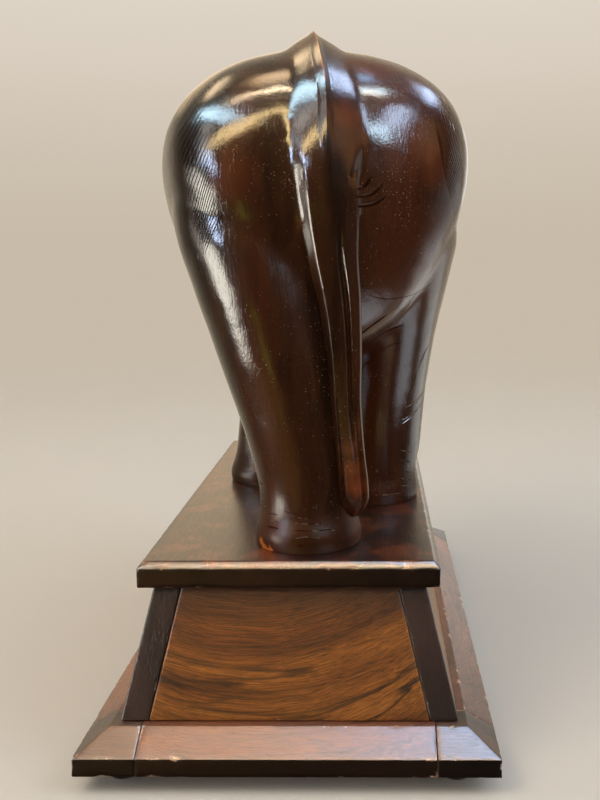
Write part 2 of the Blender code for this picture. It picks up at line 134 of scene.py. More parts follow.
def newMaterial(name):
    material = bpy.data.materials.new(name)
    material.use_nodes = True
    return material, material.node_tree, material.node_tree.nodes["Principled BSDF"]


def newMesh(name, data):
    mesh = bpy.data.meshes.new(name)
    data.to_mesh(mesh)
    data.free()
    return mesh


def newPiece(name, mesh, material):
    piece = bpy.data.objects.new(name, mesh)
    scene.collection.objects.link(piece)
    mesh.materials.clear()
    mesh.materials.append(material)
    return piece


def bakedMesh(piece):
    bpy.context.view_layer.update()
    evaluated = piece.evaluated_get(bpy.context.evaluated_depsgraph_get())
    return bpy.data.meshes.new_from_object(evaluated)


# The camera stands behind the animal, a little above its back, and looks slightly down.
cameraLook = {
    "position": (-0.0527, 0.6925, 0.3043),
    "pitchDown": 6.1,
    "yaw": -1.2,
    "roll": 0.54,
    "focalPixels": 900.0,
    "centrePixel": (357.0, 352.0),
    "picture": (600, 800),
}


def cameraAxes(look):
    pitch, yaw, roll = (math.radians(look[key]) for key in ("pitchDown", "yaw", "roll"))
    level = Vector((-math.cos(yaw), math.sin(yaw), 0))
    upright = Vector((-math.sin(pitch) * math.sin(yaw), -math.sin(pitch) * math.cos(yaw), math.cos(pitch)))
    right = level * math.cos(roll) - upright * math.sin(roll)
    up = level * math.sin(roll) + upright * math.cos(roll)
    return right, up, right.cross(up)


def makeCamera(look):
    right, up, backward = cameraAxes(look)
    width, height = look["picture"]
    data = bpy.data.cameras.new("camera")
    data.sensor_fit = "AUTO"
    data.sensor_width = 36.0
    data.lens = look["focalPixels"] / height * data.sensor_width
    data.shift_x = (width / 2 - look["centrePixel"][0]) / height
    data.shift_y = (look["centrePixel"][1] - height / 2) / height
    camera = bpy.data.objects.new("camera", data)
    turn = Matrix((right, up, backward)).transposed().to_4x4()
    camera.matrix_world = Matrix.Translation(look["position"]) @ turn
    scene.collection.objects.link(camera)
    scene.camera = camera


def pixelRay(x, y):
    right, up, backward = cameraAxes(cameraLook)
    centre = cameraLook["centrePixel"]
    focal = cameraLook["focalPixels"]
    direction = right * (x - centre[0]) / focal + up * (centre[1] - y) / focal - backward
    return Vector(cameraLook["position"]), direction.normalized()


makeCamera(cameraLook)
print("camera placed")

# Rosewood in its finishes. Lacquer over an oily, close-grained dark wood: a clear sharp reflection
# from the coat, a softer one from the wood, and brown streaks that run with the grain. First what
# the finishes have in common.
commonWood = {
    "bow": (0.0, 0.0),
    "driftScale": 18.0,
    "patchScale": 0.4,
    "patchRange": (0.46, 0.66),
    "lineFade": (0.40, 0.56, 1.0, 0.25),
    "fibreStretch": 40,
    "fibreRange": (0.3, 0.7),
    "fibreLight": 0.4,
    "poreStretch": 9,
    "poreScale": 1.3,
    "poreRange": (0.60, 0.70),
    "wornScale": 700.0,
    "wornRange": (0.85, 1.25, 0.0, 0.9),
    "roughnessRange": (0.06, -0.05),
    "specular": 0.4,
    "refraction": 1.5,
    "peelScale": 160.0,
    "gritScale": 650.0,
    "bumpStrength": 0.5,
    "bumpDistance": 0.12 * millimetre,
    "blotches": (),
}
waxedWood = {
    "grain": "X", "stretch": 8.0, "figureScale": 42.0, "lineScale": 75.0,
    "lineShare": 0.6, "lineWidth": 0.035, "fibreScale": 1200.0, "fibreShare": 0.5, "waver": 0.008,
    "wornColour": "#c9a58a", "roughness": 0.40, "coat": 0.7, "coatRoughness": 0.27,
    "bump": 1.0, "peel": 0.4, "grit": 0.8,
}
finishes = {
    # Hand-lacquered carving: nearly black, red-brown where the light gets in.
    "lacquered carved rosewood": {
        "grain": "Z", "stretch": 11.0, "figureScale": 26.0, "lineScale": 48.0,
        "figure": ((0.28, "#0c0501"), (0.44, "#1d0d03"), (0.58, "#361c08"), (0.76, "#5e3816")),
        "lineColour": "#0a0401", "lineShare": 0.5, "lineWidth": 0.03,
        "fibreScale": 900.0, "fibreShare": 0.25, "poreShare": 0.25, "waver": 0.020,
        "warmColour": "#5e2c12", "warmShare": 0.45, "wornColour": "#b5672c", "specular": 0.12,
        "roughness": 0.42, "coat": 1.0, "coatRoughness": 0.09, "bump": 1.5, "peel": 0.6, "grit": 0.8,
        # Redder heartwood where its attribute says, broken up along the grain, and a pale painted highlight
        # in the cuts where light catches them
        "heartColour": "#8a4420", "heartStreaks": (0.35, 0.6, 0.35), "cutHighlightColour": "#c3b5a0",
        # Specks of dust under the lacquer, in patches, half a millimetre wide so that they show
        "speckColour": "#b09a80", "speckScales": (1100.0, 24.0, 0.35), "speckRange": (0.975, 1.035, 0.0, 0.5),
        # The feet have lost their shine: heights where it starts and ends, roughness and coat there
        "dulled": (0.175, 0.140, 0.25, 0.28),
    },
    # Polished board: reddish, with dark stretches and small knots along its length.
    "polished board rosewood": {
        "grain": "Y", "stretch": 8.0, "figureScale": 45.0, "lineScale": 120.0,
        "figure": ((0.30, "#150a07"), (0.46, "#2b140d"), (0.60, "#482013"), (0.78, "#7a381c")),
        # Reddish heartwood and smoky brown: scale, colour, where it starts and ends, share
        "blotches": ((34.0, "#8a4626", 0.48, 0.66, 0.5), (27.0, "#120806", 0.50, 0.66, 0.7)),
        "lineColour": "#120806", "lineShare": 0.7, "lineWidth": 0.04,
        "fibreScale": 1100.0, "fibreShare": 0.45, "poreShare": 0.6, "waver": 0.012,
        "warmColour": "#8f4220", "warmShare": 0.35, "wornColour": "#9c7a62",
        "roughness": 0.38, "coat": 0.8, "coatRoughness": 0.20, "bump": 0.9, "peel": 0.3, "grit": 0.5,
        # Painted shade below or above a level, here the edge made darker than the lit top: none at the first
        # height, full at the second
        "paintedShade": (0.1222, 0.1212, "#0e0503", 0.88),
    },
    # Oiled panel: golden brown with dark flame lines that sweep up to one side.
    "oiled panel rosewood": {
        "grain": "X", "stretch": 13.0, "figureScale": 46.0, "lineScale": 54.0,
        "figure": ((0.30, "#28140a"), (0.39, "#764317"), (0.56, "#a26424"), (0.80, "#ba7a2e")),
        "lineColour": "#140a06", "lineShare": 0.97, "lineWidth": 0.036,
        "fibreScale": 1300.0, "fibreShare": 0.8, "poreShare": 0.4, "bow": (3.4, 0.020), "waver": 0.006,
        "warmColour": "#5d3216", "warmShare": 0.5, "wornColour": "#b58a5a",
        "roughness": 0.42, "coat": 0.35, "coatRoughness": 0.30, "bump": 0.9, "peel": 0.2, "grit": 0.4,
        # Painted shadow under the board's overhang, darkest at the top
        "paintedShade": (0.080, 0.1080, "#2a1710", 0.72),
    },
    # Waxed rail: pinkish brown with reddish streaks, dulled by handling.
    "waxed rail rosewood": {
        **waxedWood, "poreShare": 0.4, "bow": (1.6, 0.010), "lineColour": "#2b1710",
        "figure": ((0.28, "#3a2017"), (0.45, "#5c3425"), (0.60, "#7c4832"), (0.80, "#a0603a")),
        # Painted shade on the band below the shoulder
        "warmColour": "#b0602f", "warmShare": 0.6, "paintedShade": (0.0218, 0.0211, "#0b0402", 0.94),
    },
    # Darker rail wood for the corner blocks, dulled in the same way.
    "waxed corner rosewood": {
        **waxedWood, "poreShare": 0.5, "lineColour": "#22120d",
        "figure": ((0.28, "#1d120d"), (0.45, "#302018"), (0.60, "#432b20"), (0.80, "#5b3928")),
        # Painted shade on the band below the shoulder
        "warmColour": "#643620", "warmShare": 0.4, "paintedShade": (0.0218, 0.0211, "#080403", 0.95),
    },
    # Blackened corner wood: stained almost black, its pores still open.
    "blackened corner wood": {
        "grain": "Z", "stretch": 9.0, "figureScale": 50.0, "lineScale": 120.0,
        "figure": ((0.30, "#150c09"), (0.50, "#231511"), (0.66, "#331f19"), (0.84, "#462c24")),
        "lineColour": "#0a0605", "lineShare": 0.5, "lineWidth": 0.04,
        "fibreScale": 1000.0, "fibreShare": 0.45, "poreShare": 0.9, "waver": 0.008,
        "warmColour": "#3b2019", "warmShare": 0.3, "wornColour": "#8d7560",
        "roughness": 0.42, "coat": 0.5, "coatRoughness": 0.28, "bump": 1.1, "peel": 0.4, "grit": 0.8,
        # Painted shade below the shoulder, as on the rails
        "paintedShade": (0.0218, 0.0211, "#0d0605", 0.85),
    },
}


def grainSpace(tree, look, place, grain, seed):
    # The pattern space has the grain along its X. It bows and wavers as the tree grew.
    turns = {"X": (0, 0, 0), "Y": (0, 0, -math.pi / 2), "Z": (0, math.pi / 2, 0)}
    aligned = mapped(tree, place, Rotation=turns[grain], Location=(seed, seed * 0.37, seed * 0.71))
    along, across, up = separatedXYZ(tree, aligned)
    bow, bowCentre = look["bow"]
    offCentre = calculated(tree, "SUBTRACT", along, bowCentre + seed)
    lift = calculated(tree, "MULTIPLY", calculated(tree, "MULTIPLY", offCentre, offCentre), -bow)
    bowed = combinedXYZ(tree, along, across, calculated(tree, "ADD", up, lift))
    drift = noised(tree, aligned, look["driftScale"], output="Color")
    waver = scaled(tree, summed(tree, "SUBTRACT", drift, (0.5, 0.5, 0.5)), look["waver"])
    return summed(tree, "ADD", bowed, waver)


def woodColour(tree, look, wavy):
    streaky = mapped(tree, wavy, Scale=(1 / look["stretch"], 1, 1))
    figure = noised(tree, streaky, look["figureScale"], 5.0, 0.6, 0.4)
    colour = addNode(tree, "ShaderNodeValToRGB", {"stops": look["figure"]}, {0: figure}).outputs[0]
    patches = noised(tree, streaky, look["figureScale"] * look["patchScale"])
    warm = ranged(tree, patches, *look["patchRange"], 0.0, look["warmShare"])
    colour = mixed(tree, warm, colour, linear(look["warmColour"]))
    # Growth lines: thin dark lines where a second noise passes its middle value.
    lines = noised(tree, streaky, look["lineScale"], 3.0, 0.5, 0.3)
    distance = calculated(tree, "ABSOLUTE", calculated(tree, "SUBTRACT", lines, 0.5))
    near = ranged(tree, distance, 0.0, look["lineWidth"], look["lineShare"], 0.0)
    line = calculated(tree, "MULTIPLY", near, ranged(tree, patches, *look["lineFade"]))
    colour = mixed(tree, line, colour, linear(look["lineColour"]))
    # Fibres about a millimetre apart; real ones are finer and wouldn't show in the picture.
    fibreSpace = mapped(tree, wavy, Scale=(1 / look["fibreStretch"], 1, 1))
    fibres = noised(tree, fibreSpace, look["fibreScale"], 3.0, 0.7)
    darkest, lightest = 1 - look["fibreShare"], 1 + look["fibreLight"] * look["fibreShare"]
    fibreShade = ranged(tree, fibres, *look["fibreRange"], darkest, lightest, "LINEAR")
    poreSpace = mapped(tree, wavy, Scale=(1 / look["poreStretch"], 1, 1))
    pores = noised(tree, poreSpace, look["fibreScale"] * look["poreScale"], 1.0)
    poreShade = ranged(tree, pores, *look["poreRange"], 1.0, 1 - look["poreShare"])
    shade = calculated(tree, "MULTIPLY", fibreShade, poreShade)
    colour = scaled(tree, colour, shade)
    for size, blotchColour, low, high, share in look["blotches"]:
        blot = noised(tree, wavy, size, 4.0, 0.65, 0.5)
        tinted = scaled(tree, linear(blotchColour)[:3], shade)
        colour = mixed(tree, ranged(tree, blot, low, high, 0.0, share), colour, tinted)
    return colour, shade, fibres, figure


def markedColour(tree, look, place, level, colour, figure):
    if "heartColour" in look:
        streaks = ranged(tree, figure, *look["heartStreaks"])
        heart = calculated(tree, "MULTIPLY", marked(tree, "heart"), streaks)
        colour = mixed(tree, heart, colour, linear(look["heartColour"]))
    if "speckColour" in look:
        dotScale, dustScale, dustShare = look["speckScales"]
        dots = noised(tree, place, dotScale, 0.0)
        where = calculated(tree, "MULTIPLY_ADD", noised(tree, place, dustScale), dustShare, dots)
        specks = ranged(tree, where, *look["speckRange"])
        colour = mixed(tree, specks, colour, linear(look["speckColour"]))
    # Pale painted highlight in the cut lines
    if "cutHighlightColour" in look:
        colour = mixed(tree, marked(tree, "wax"), colour, linear(look["cutHighlightColour"]))
    # The worn attribute is high on rubbed arrises and in chips, where the stain is gone.
    wear = calculated(tree, "ADD", marked(tree, "worn"), noised(tree, place, look["wornScale"], 4.0))
    wornShare = ranged(tree, wear, *look["wornRange"])
    colour = mixed(tree, wornShare, colour, linear(look["wornColour"]))
    # Painted shade below or above a level, lifted where the wood is worn
    if "paintedShade" in look:
        none, full, shadeColour, shadeShare = look["paintedShade"]
        shaded = ranged(tree, level, none, full, 0.0, shadeShare)
        left = calculated(tree, "SUBTRACT", shaded, wornShare, use_clamp=True)
        colour = mixed(tree, left, colour, linear(shadeColour))
    return colour


def rosewood(name, finish, grain=None, seed=0.0):
    look = {**commonWood, **finishes[finish]}
    material, tree, shader = newMaterial(name)
    place = coordinates(tree)
    level = separatedXYZ(tree, place)[2]
    wavy = grainSpace(tree, look, place, grain or look["grain"], seed)
    colour, shade, fibres, figure = woodColour(tree, look, wavy)
    dullest, glossiest = (look["roughness"] + change for change in look["roughnessRange"])
    coat, coatRoughness = look["coat"], look["coatRoughness"]
    if "dulled" in look:
        shiny, dull, dullRoughness, dullCoat = look["dulled"]
        coatRoughness = ranged(tree, level, shiny, dull, coatRoughness, dullRoughness)
        coat = ranged(tree, level, shiny, dull, coat, dullCoat)
    peel = calculated(tree, "MULTIPLY", noised(tree, place, look["peelScale"], 3.0), look["peel"])
    # Dust and brush marks in the finish, drawn 1.5 mm apart so that they show.
    grit = calculated(tree, "MULTIPLY_ADD", noised(tree, place, look["gritScale"]), look["grit"], peel)
    height = calculated(tree, "ADD", calculated(tree, "MULTIPLY", shade, look["bump"]), grit)
    bump = addNode(tree, "ShaderNodeBump", {}, {
        "Strength": look["bumpStrength"], "Distance": look["bumpDistance"], "Height": height}).outputs[0]
    setInputs(tree, shader, {
        "Base Color": markedColour(tree, look, place, level, colour, figure),
        "Roughness": ranged(tree, fibres, *look["fibreRange"], dullest, glossiest, "LINEAR"),
        "IOR": look["refraction"],
        "Specular IOR Level": look["specular"],
        "Coat Weight": coat,
        "Coat Roughness": coatRoughness,
        "Coat IOR": look["refraction"],
        "Normal": bump,
        "Coat Normal": bump,
    })
    return material


carvedWood = rosewood("lacqueredCarvedRosewood", "lacquered carved rosewood")
boardWood = rosewood("polishedBoardRosewood", "polished board rosewood")
panelWoods = {axis: rosewood(f"oiledPanelRosewood{axis}", "oiled panel rosewood", axis) for axis in "XY"}
railWoods = {axis: rosewood(f"waxedRailRosewood{axis}", "waxed rail rosewood", axis) for axis in "XY"}
blockWood = rosewood("waxedCornerRosewood", "waxed corner rosewood", "X", 0.13)
cornerWood = rosewood("blackenedCornerWoodZ", "blackened corner wood")
print("materials made")

# The plinth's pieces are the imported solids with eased, rubbed and chipped arrises.
plinth = {
    "arris": 0.9 * millimetre,
    "arrisSegments": 3,
    "cell": 2.6 * millimetre,
    "wearReach": 2.2 * millimetre,
    "chipDepth": 0.7 * millimetre,
    "chipScale": 150.0,
    "chipLevel": 0.12,
    "rub": 0.10,
    "fineChips": (2.7, 0.5),
    "wearAtChips": 1.6,
}


def worn(node, name, material, look=plinth, cell=None):
    data = bmesh.new()
    data.from_mesh(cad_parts[node].data)
    bmesh.ops.remove_doubles(data, verts=data.verts, dist=0.00001)
    bmesh.ops.dissolve_limit(data, angle_limit=math.radians(2), verts=data.verts, edges=data.edges)
    sharp = math.radians(12)
    arrises = [e for e in data.edges if len(e.link_faces) == 2 and e.calc_face_angle() > sharp]
    lines = [(np.array(e.verts[0].co), np.array(e.verts[1].co)) for e in arrises]
    bmesh.ops.bevel(data, geom=arrises, offset=look["arris"], offset_type="OFFSET", profile=0.5,
                    segments=look["arrisSegments"], affect="EDGES", clamp_overlap=True)
    corners = np.array([v.co for v in data.verts])
    size = cell or look["cell"]
    for axis in range(3):
        low, high = corners[:, axis].min(), corners[:, axis].max()
        count = max(1, round((high - low) / size))
        direction = [float(index == axis) for index in range(3)]
        for step in range(1, count):
            spot = [0.0, 0.0, 0.0]
            spot[axis] = low + (high - low) * step / count
            bmesh.ops.bisect_plane(data, geom=data.verts[:] + data.edges[:] + data.faces[:],
                                   plane_co=spot, plane_no=direction, dist=0.00002)
    points = np.array([v.co for v in data.verts])
    nearest = np.full(len(points), 1e9)
    for start, end in lines:
        run = end - start
        share = np.clip((points - start) @ run / (run @ run), 0, 1)
        nearest = np.minimum(nearest, np.linalg.norm(points - start - share[:, None] * run, axis=1))
    closeness = np.clip(1 - nearest / look["wearReach"], 0, 1)
    data.normal_update()
    layer = data.verts.layers.float.new("worn")
    for vert, near in zip(data.verts, closeness):
        if near <= 0:
            continue
        coarse = noise.noise(vert.co * look["chipScale"])
        fine = noise.noise(vert.co * look["chipScale"] * look["fineChips"][0])
        bite = max(0.0, coarse + look["fineChips"][1] * fine - look["chipLevel"])
        vert[layer] = min(1.0, near * (look["rub"] + look["wearAtChips"] * bite))
        vert.co -= vert.normal * look["chipDepth"] * near * bite
    mesh = newMesh(name, data)
    mesh.shade_smooth()
    mesh.set_sharp_from_angle(angle=math.radians(25))
    piece = newPiece(name, mesh, material)
    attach(piece, "root")
    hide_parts(node)


# The frame's joints are closer than the other arrises are round.
frameLook = {**plinth, "arris": 0.3 * millimetre}
worn("top_board", "polished_top_board", boardWood, cell=3.0 * millimetre)
for place, axis in (("rear", "X"), ("front", "X"), ("left", "Y"), ("right", "Y")):
    worn(f"panel_{place}", f"figured_panel_{place}", panelWoods[axis],
         cell=4.0 * millimetre)
    worn(f"base_rail_{place}", f"waxed_rail_{place}", railWoods[axis], frameLook)
for place in ("rear_left", "rear_right", "front_left", "front_right"):
    worn(f"stile_{place}", f"dark_stile_{place}", cornerWood)
    worn(f"corner_block_{place}", f"dark_corner_{place}", blockWood, frameLook,
         cell=2.0 * millimetre)
print("plinth dressed")

# Four turned feet: one round profile, swept up from its sole and set under each corner block.
footLow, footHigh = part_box("foot_rear_left")
turnedFoot = {
    "Foot height": footHigh.z - footLow.z,
    "Top diameter": footHigh.x - footLow.x,
    "Sole diameter": 0.0165,
    "Spacing across": footHigh.x + footLow.x,
    "Spacing along": footHigh.y + footLow.y,
    "Rounding steps": 16,
}
footSides = 48


def footTree(material):
    tree = bpy.data.node_groups.new("turnedFeet", "GeometryNodeTree")
    for name, value in turnedFoot.items():
        kind = "NodeSocketInt" if isinstance(value, int) else "NodeSocketFloat"
        tree.interface.new_socket(name, in_out="INPUT", socket_type=kind).default_value = value
    tree.interface.new_socket("Geometry", in_out="OUTPUT", socket_type="NodeSocketGeometry")
    given = addNode(tree, "NodeGroupInput", {}, {}).outputs
    line = shaped(tree, "CurvePrimitiveLine", {1: combinedXYZ(tree, 0.0, 0.0, given["Foot height"])})
    steps = shaped(tree, "ResampleCurve", {"Curve": line, "Count": given["Rounding steps"]})
    factor = addNode(tree, "GeometryNodeSplineParameter", {}, {}).outputs["Factor"]
    # The side is a quarter round: widest at the top, drawn in at the sole.
    left = calculated(tree, "SUBTRACT", 1.0, factor)
    under = calculated(tree, "SUBTRACT", 1.0, calculated(tree, "MULTIPLY", left, left))
    quarter = calculated(tree, "SQRT", under)
    flare = ranged(tree, quarter, 0.0, 1.0, given["Sole diameter"], given["Top diameter"], "LINEAR")
    radius = calculated(tree, "MULTIPLY", flare, 0.5)
    side = shaped(tree, "SetCurveRadius", {"Curve": steps, "Radius": radius})
    ring = shaped(tree, "CurvePrimitiveCircle", {"Resolution": footSides, "Radius": 1.0})
    turned = shaped(tree, "CurveToMesh", {
        "Curve": side, "Profile Curve": ring, "Scale": radius, "Fill Caps": True})
    corners = shaped(tree, "MeshGrid", {
        "Size X": given["Spacing across"], "Size Y": given["Spacing along"],
        "Vertices X": 2, "Vertices Y": 2})
    standing = shaped(tree, "InstanceOnPoints", {"Points": corners, "Instance": turned})
    real = shaped(tree, "RealizeInstances", {0: standing})
    finished = shaped(tree, "SetMaterial", {"Geometry": real, "Material": material})
    addNode(tree, "NodeGroupOutput", {}, {0: finished})
    return tree


def makeFeet():
    tree = footTree(cornerWood)
    maker = newPiece("feet_maker", bpy.data.meshes.new("feet_maker"), cornerWood)
    turning = maker.modifiers.new("turned feet", "NODES")
    turning.node_group = tree
    for socket in tree.interface.items_tree:
        if socket.in_out == "INPUT":
            turning[socket.identifier] = turnedFoot[socket.name]
    mesh = bakedMesh(maker)
    bpy.data.objects.remove(maker)
    mesh.shade_smooth()
    mesh.set_sharp_from_angle(angle=math.radians(40))
    feet = newPiece("turned_feet", mesh, cornerWood)
    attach(feet, "root")
    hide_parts("foot_rear_left", "foot_rear_right", "foot_front_left", "foot_front_right")
    print("feet", [round(1000 * size, 2) for size in feet.dimensions])


makeFeet()


def thousandths(*rows):
    return tuple(tuple(value / 1000 for value in row) for row in rows)


# The elephant is written in shares of its height: along (forward from the rump), sideways (to its
# right) and up from the soles. Its stations are in thousandths.
elephant = {
    "height": 0.328,
    "heading": math.radians(10.0),
    "middle": (0.3, 0, 0.6),
    "rumpSetback": 0.0270,
    "rumpOffset": 0.0223,
    "voxel": 2.8 * millimetre,
    "smoothing": 7,
    "ringSides": 48,
    "pathSides": 28,
    "bodySteps": 4,
    "legSteps": 3,
    "legSurplus": 0.03,
    "leftBackFullness": 2.15,
    "rightBackFullness": 2.35,
    "bellyFullness": 1.7,
    # along, top, widest height, belly, half width, sideways shift
    "body": thousandths(
        (-14, 730, 655, 580, 70, 0), (0, 810, 675, 490, 155, 0), (30, 870, 705, 420, 222, 4),
        (75, 912, 720, 370, 270, 10), (140, 940, 724, 340, 298, 12), (220, 957, 722, 325, 309, 13),
        (320, 964, 712, 315, 312, 13), (440, 962, 695, 305, 307, 14), (545, 950, 680, 300, 298, 10),
        (640, 935, 665, 315, 284, 5), (720, 925, 660, 345, 260, 0), (786, 910, 670, 385, 222, 0),
        (843, 885, 690, 450, 175, 0), (890, 840, 710, 540, 110, 0),
    ),
    # height, along, sideways, half length, half width
    "hindLeft": thousandths(
        (0, 66, -30, 99, 101), (12, 66, -30, 102, 104), (30, 66, -30, 101, 102), (65, 68, -29, 92, 94),
        (120, 72, -29, 93, 97), (200, 80, -40, 103, 106), (270, 92, -51, 115, 116),
        (340, 104, -63, 128, 128), (420, 118, -79, 138, 138), (500, 132, -96, 146, 148),
        (600, 148, -114, 148, 158), (690, 160, -120, 130, 150), (760, 170, -120, 70, 90),
    ),
    "hindRight": thousandths(
        (0, 366, 149, 99, 101), (12, 366, 149, 102, 104), (30, 366, 149, 101, 102), (65, 366, 152, 94, 95),
        (120, 362, 160, 96, 98), (200, 351, 163, 106, 99), (270, 336, 165, 120, 101),
        (340, 318, 167, 137, 106), (420, 293, 168, 156, 114), (500, 268, 170, 171, 126),
        (600, 236, 166, 183, 141), (690, 219, 150, 156, 124), (760, 208, 138, 82, 78),
    ),
    "frontLeft": thousandths(
        (0, 567, -74, 91, 93), (12, 567, -74, 94, 96), (30, 567, -74, 93, 95), (65, 568, -71, 84, 86),
        (120, 572, -66, 82, 84), (200, 584, -62, 86, 84), (300, 600, -68, 94, 92),
        (400, 616, -88, 106, 104), (500, 632, -118, 118, 116), (600, 646, -134, 116, 118),
        (700, 655, -132, 80, 84),
    ),
    "frontRight": thousandths(
        (0, 744, 112, 91, 93), (12, 744, 112, 94, 96), (30, 744, 112, 93, 95), (65, 742, 112, 84, 86),
        (120, 737, 112, 82, 84), (200, 730, 116, 88, 88), (300, 720, 122, 100, 98),
        (400, 708, 128, 110, 108), (500, 696, 134, 116, 116), (600, 684, 136, 112, 118),
        (700, 672, 130, 80, 84),
    ),
    # along, top, middle, bottom, half width
    "head": thousandths(
        (780, 900, 760, 600, 120), (835, 952, 790, 585, 158), (890, 978, 805, 560, 170),
        (942, 968, 800, 560, 158), (985, 918, 785, 590, 132), (1014, 850, 760, 640, 92),
    ),
    # along, sideways, height, half width, half depth
    "trunk": thousandths(
        (920, 0, 830, 122, 100), (966, 0, 770, 116, 94), (1000, 0, 690, 100, 84), (1020, 0, 590, 84, 72),
        (1027, 0, 480, 68, 60), (1022, 0, 370, 56, 50), (1010, 0, 280, 47, 43), (1002, 0, 205, 41, 38),
        (1014, 0, 150, 37, 34), (1046, 0, 126, 34, 31), (1076, 0, 146, 31, 28), (1086, 0, 184, 29, 24),
    ),
    "jaw": thousandths(
        (890, 0, 640, 80, 60), (940, 0, 585, 66, 48), (980, 0, 548, 44, 30), (996, 0, 534, 20, 14),
    ),
    "tusk": thousandths(
        (940, 78, 640, 31, 31), (995, 93, 588, 28, 28), (1038, 101, 556, 24, 24), (1072, 104, 548, 19, 19),
        (1096, 103, 556, 13, 13),
    ),
    # turn around the ear's middle in degrees, reach
    "earCentre": (0.815, 0.205, 0.735),
    "earOutline": (
        (20, 0.130), (60, 0.180), (95, 0.185), (130, 0.175), (165, 0.160),
        (200, 0.170), (235, 0.195), (262, 0.225), (290, 0.160), (330, 0.115),
    ),
    "earThickness": 0.030,
    "earFlare": 0.22,
    # share of the reach, lift, from the middle of the face over the rim to the sunk back
    "earSection": (
        (0.30, 0.30), (0.62, 0.36), (0.84, 0.50), (0.95, 0.50), (1.00, 0.20), (1.00, -0.40),
        (0.92, -1.40), (0.70, -2.60), (0.30, -2.60),
    ),
    # Half width and height of a nail, how far in it starts, its levels, sides, thickness and blunt top
    "nail": (0.017, 0.022),
    "nailTurns": (-56, -28, 0, 28, 56),
    "nailInset": 0.97,
    "nailLevels": (0.0, 0.5, 0.8, 1.0),
    "nailSides": 12,
    "nailThickness": 0.5,
    "nailCrown": 0.04,
    # Height of the waves that tools leave, their two scales and the finer one's share
    "unevenness": 0.30 * millimetre,
    "waves": (38, 110, 0.35),
    "strokeGap": 2.0 * millimetre,
    "sharpAngle": math.radians(32),
    "waste": (0.6, 0.8, 0.05),
    # Shares of pale painted highlight in some of the cuts, where light catches them; its spacing, reach in
    # half widths, and its patches
    "wax": {"ankle": 0.95, "lowerLeg": 0.4, "thin": 0.35, "ankleSide": 0.5},
    "cutHighlightGap": 0.5 * millimetre,
    "cutHighlightReach": 0.7,
    "cutHighlightPatches": (260, 0.8, 2.0),
    # Redder places: the photograph's pixel, reach in millimetres and strength
    "heart": ((350, 450, 7, 0.4), (353, 470, 9, 0.6), (356, 488, 9, 0.7), (345, 112, 12, 0.35),
              (436, 168, 16, 0.3), (412, 152, 20, 0.12), (372, 64, 18, 0.3), (232, 176, 20, 0.2)),
}

# Crest of the spine and tail: along, sideways and height of its foot, half width, standing out,
# shares of the shoulder, tail and tuft sections; the rest is the roof section
ridge = {
    "path": thousandths(
        (650, 0, 925, 34, 12, 0, 0, 0), (560, 0, 940, 46, 22, 0, 0, 0), (450, 0, 948, 56, 30, 0, 0, 0),
        (335, 0, 952, 62, 33, 0, 0, 0), (220, 0, 946, 67, 37, 0, 0, 0), (130, 0, 930, 70, 41, 0, 0, 0),
        (60, 0, 885, 72, 43, 0, 0, 0), (14, 3, 826, 73, 45, 0, 0, 0), (-6, 2, 752, 68, 44, 500, 0, 0),
        (-10, 3, 680, 57, 42, 1000, 0, 0), (-6, 10, 610, 55, 42, 700, 300, 0),
        (-2, 16, 540, 47, 44, 200, 800, 0), (0, 26, 460, 40, 46, 0, 1000, 0),
        (2, 32, 370, 34, 46, 0, 1000, 0), (6, 35, 280, 30, 43, 0, 900, 100),
        (10, 42, 190, 29, 41, 0, 300, 700), (14, 48, 120, 31, 38, 0, 0, 1000),
        (18, 51, 85, 27, 30, 0, 0, 1000), (22, 52, 55, 10, 10, 0, 0, 1000),
    ),
    "rootRows": 11,
    "rootFlare": 0.3,
    "steps": 8,
    "sides": 45,
    "innerFoot": (0.8, 1.5),
    # Rows whose edge is rubbed, its reach and its share of bare wood
    "rubbed": (12, 56, 0.3 * millimetre, 0.9),
    # Bare chips, by the photograph's pixel: reach in millimetres and share of bare wood
    "chips": ((261, 541, 2.5, 1.0), (264, 546, 3.0, 1.0), (270, 550, 2.4, 0.9), (308, 36, 1.5, 0.5)),
    "root": ((-1.0, -0.42), (-0.77, -0.14), (-0.54, 0.20), (-0.28, 0.60), (0.0, 0.98), (0.23, 0.70),
             (0.48, 0.40), (0.66, 0.10), (0.77, -0.05), (1.0, -0.42)),
    "roof": ((-1.0, -1.2), (-0.60, -0.05), (-0.36, 0.48), (-0.15, 0.84), (0.0, 1.04), (0.08, 0.93),
             (0.30, 0.60), (0.60, 0.15), (1.0, -1.2)),
    "shoulder": ((-1.0, -0.20), (-0.96, 0.12), (-0.70, 0.60), (-0.64, 0.68), (-0.10, 0.93), (0.12, 1.0),
                 (0.24, 0.94), (0.62, 0.80), (0.92, 0.55), (1.0, -0.20)),
    "tail": ((-1.0, 0.0), (-0.96, 0.34), (-0.74, 0.84), (-0.68, 0.90), (0.0, 1.0), (0.06, 0.96), (0.16, 0.78),
             (0.26, 0.80), (0.34, 0.94), (0.80, 0.90), (0.95, 0.66), (1.0, 0.0)),
    "tuft": ((-1.0, 0.0), (-0.92, 0.55), (-0.76, 0.88), (-0.62, 0.72), (-0.40, 0.90), (0.0, 1.06),
             (0.38, 0.92), (0.56, 0.70), (0.74, 0.90), (0.90, 0.80), (1.0, 0.0)),
}


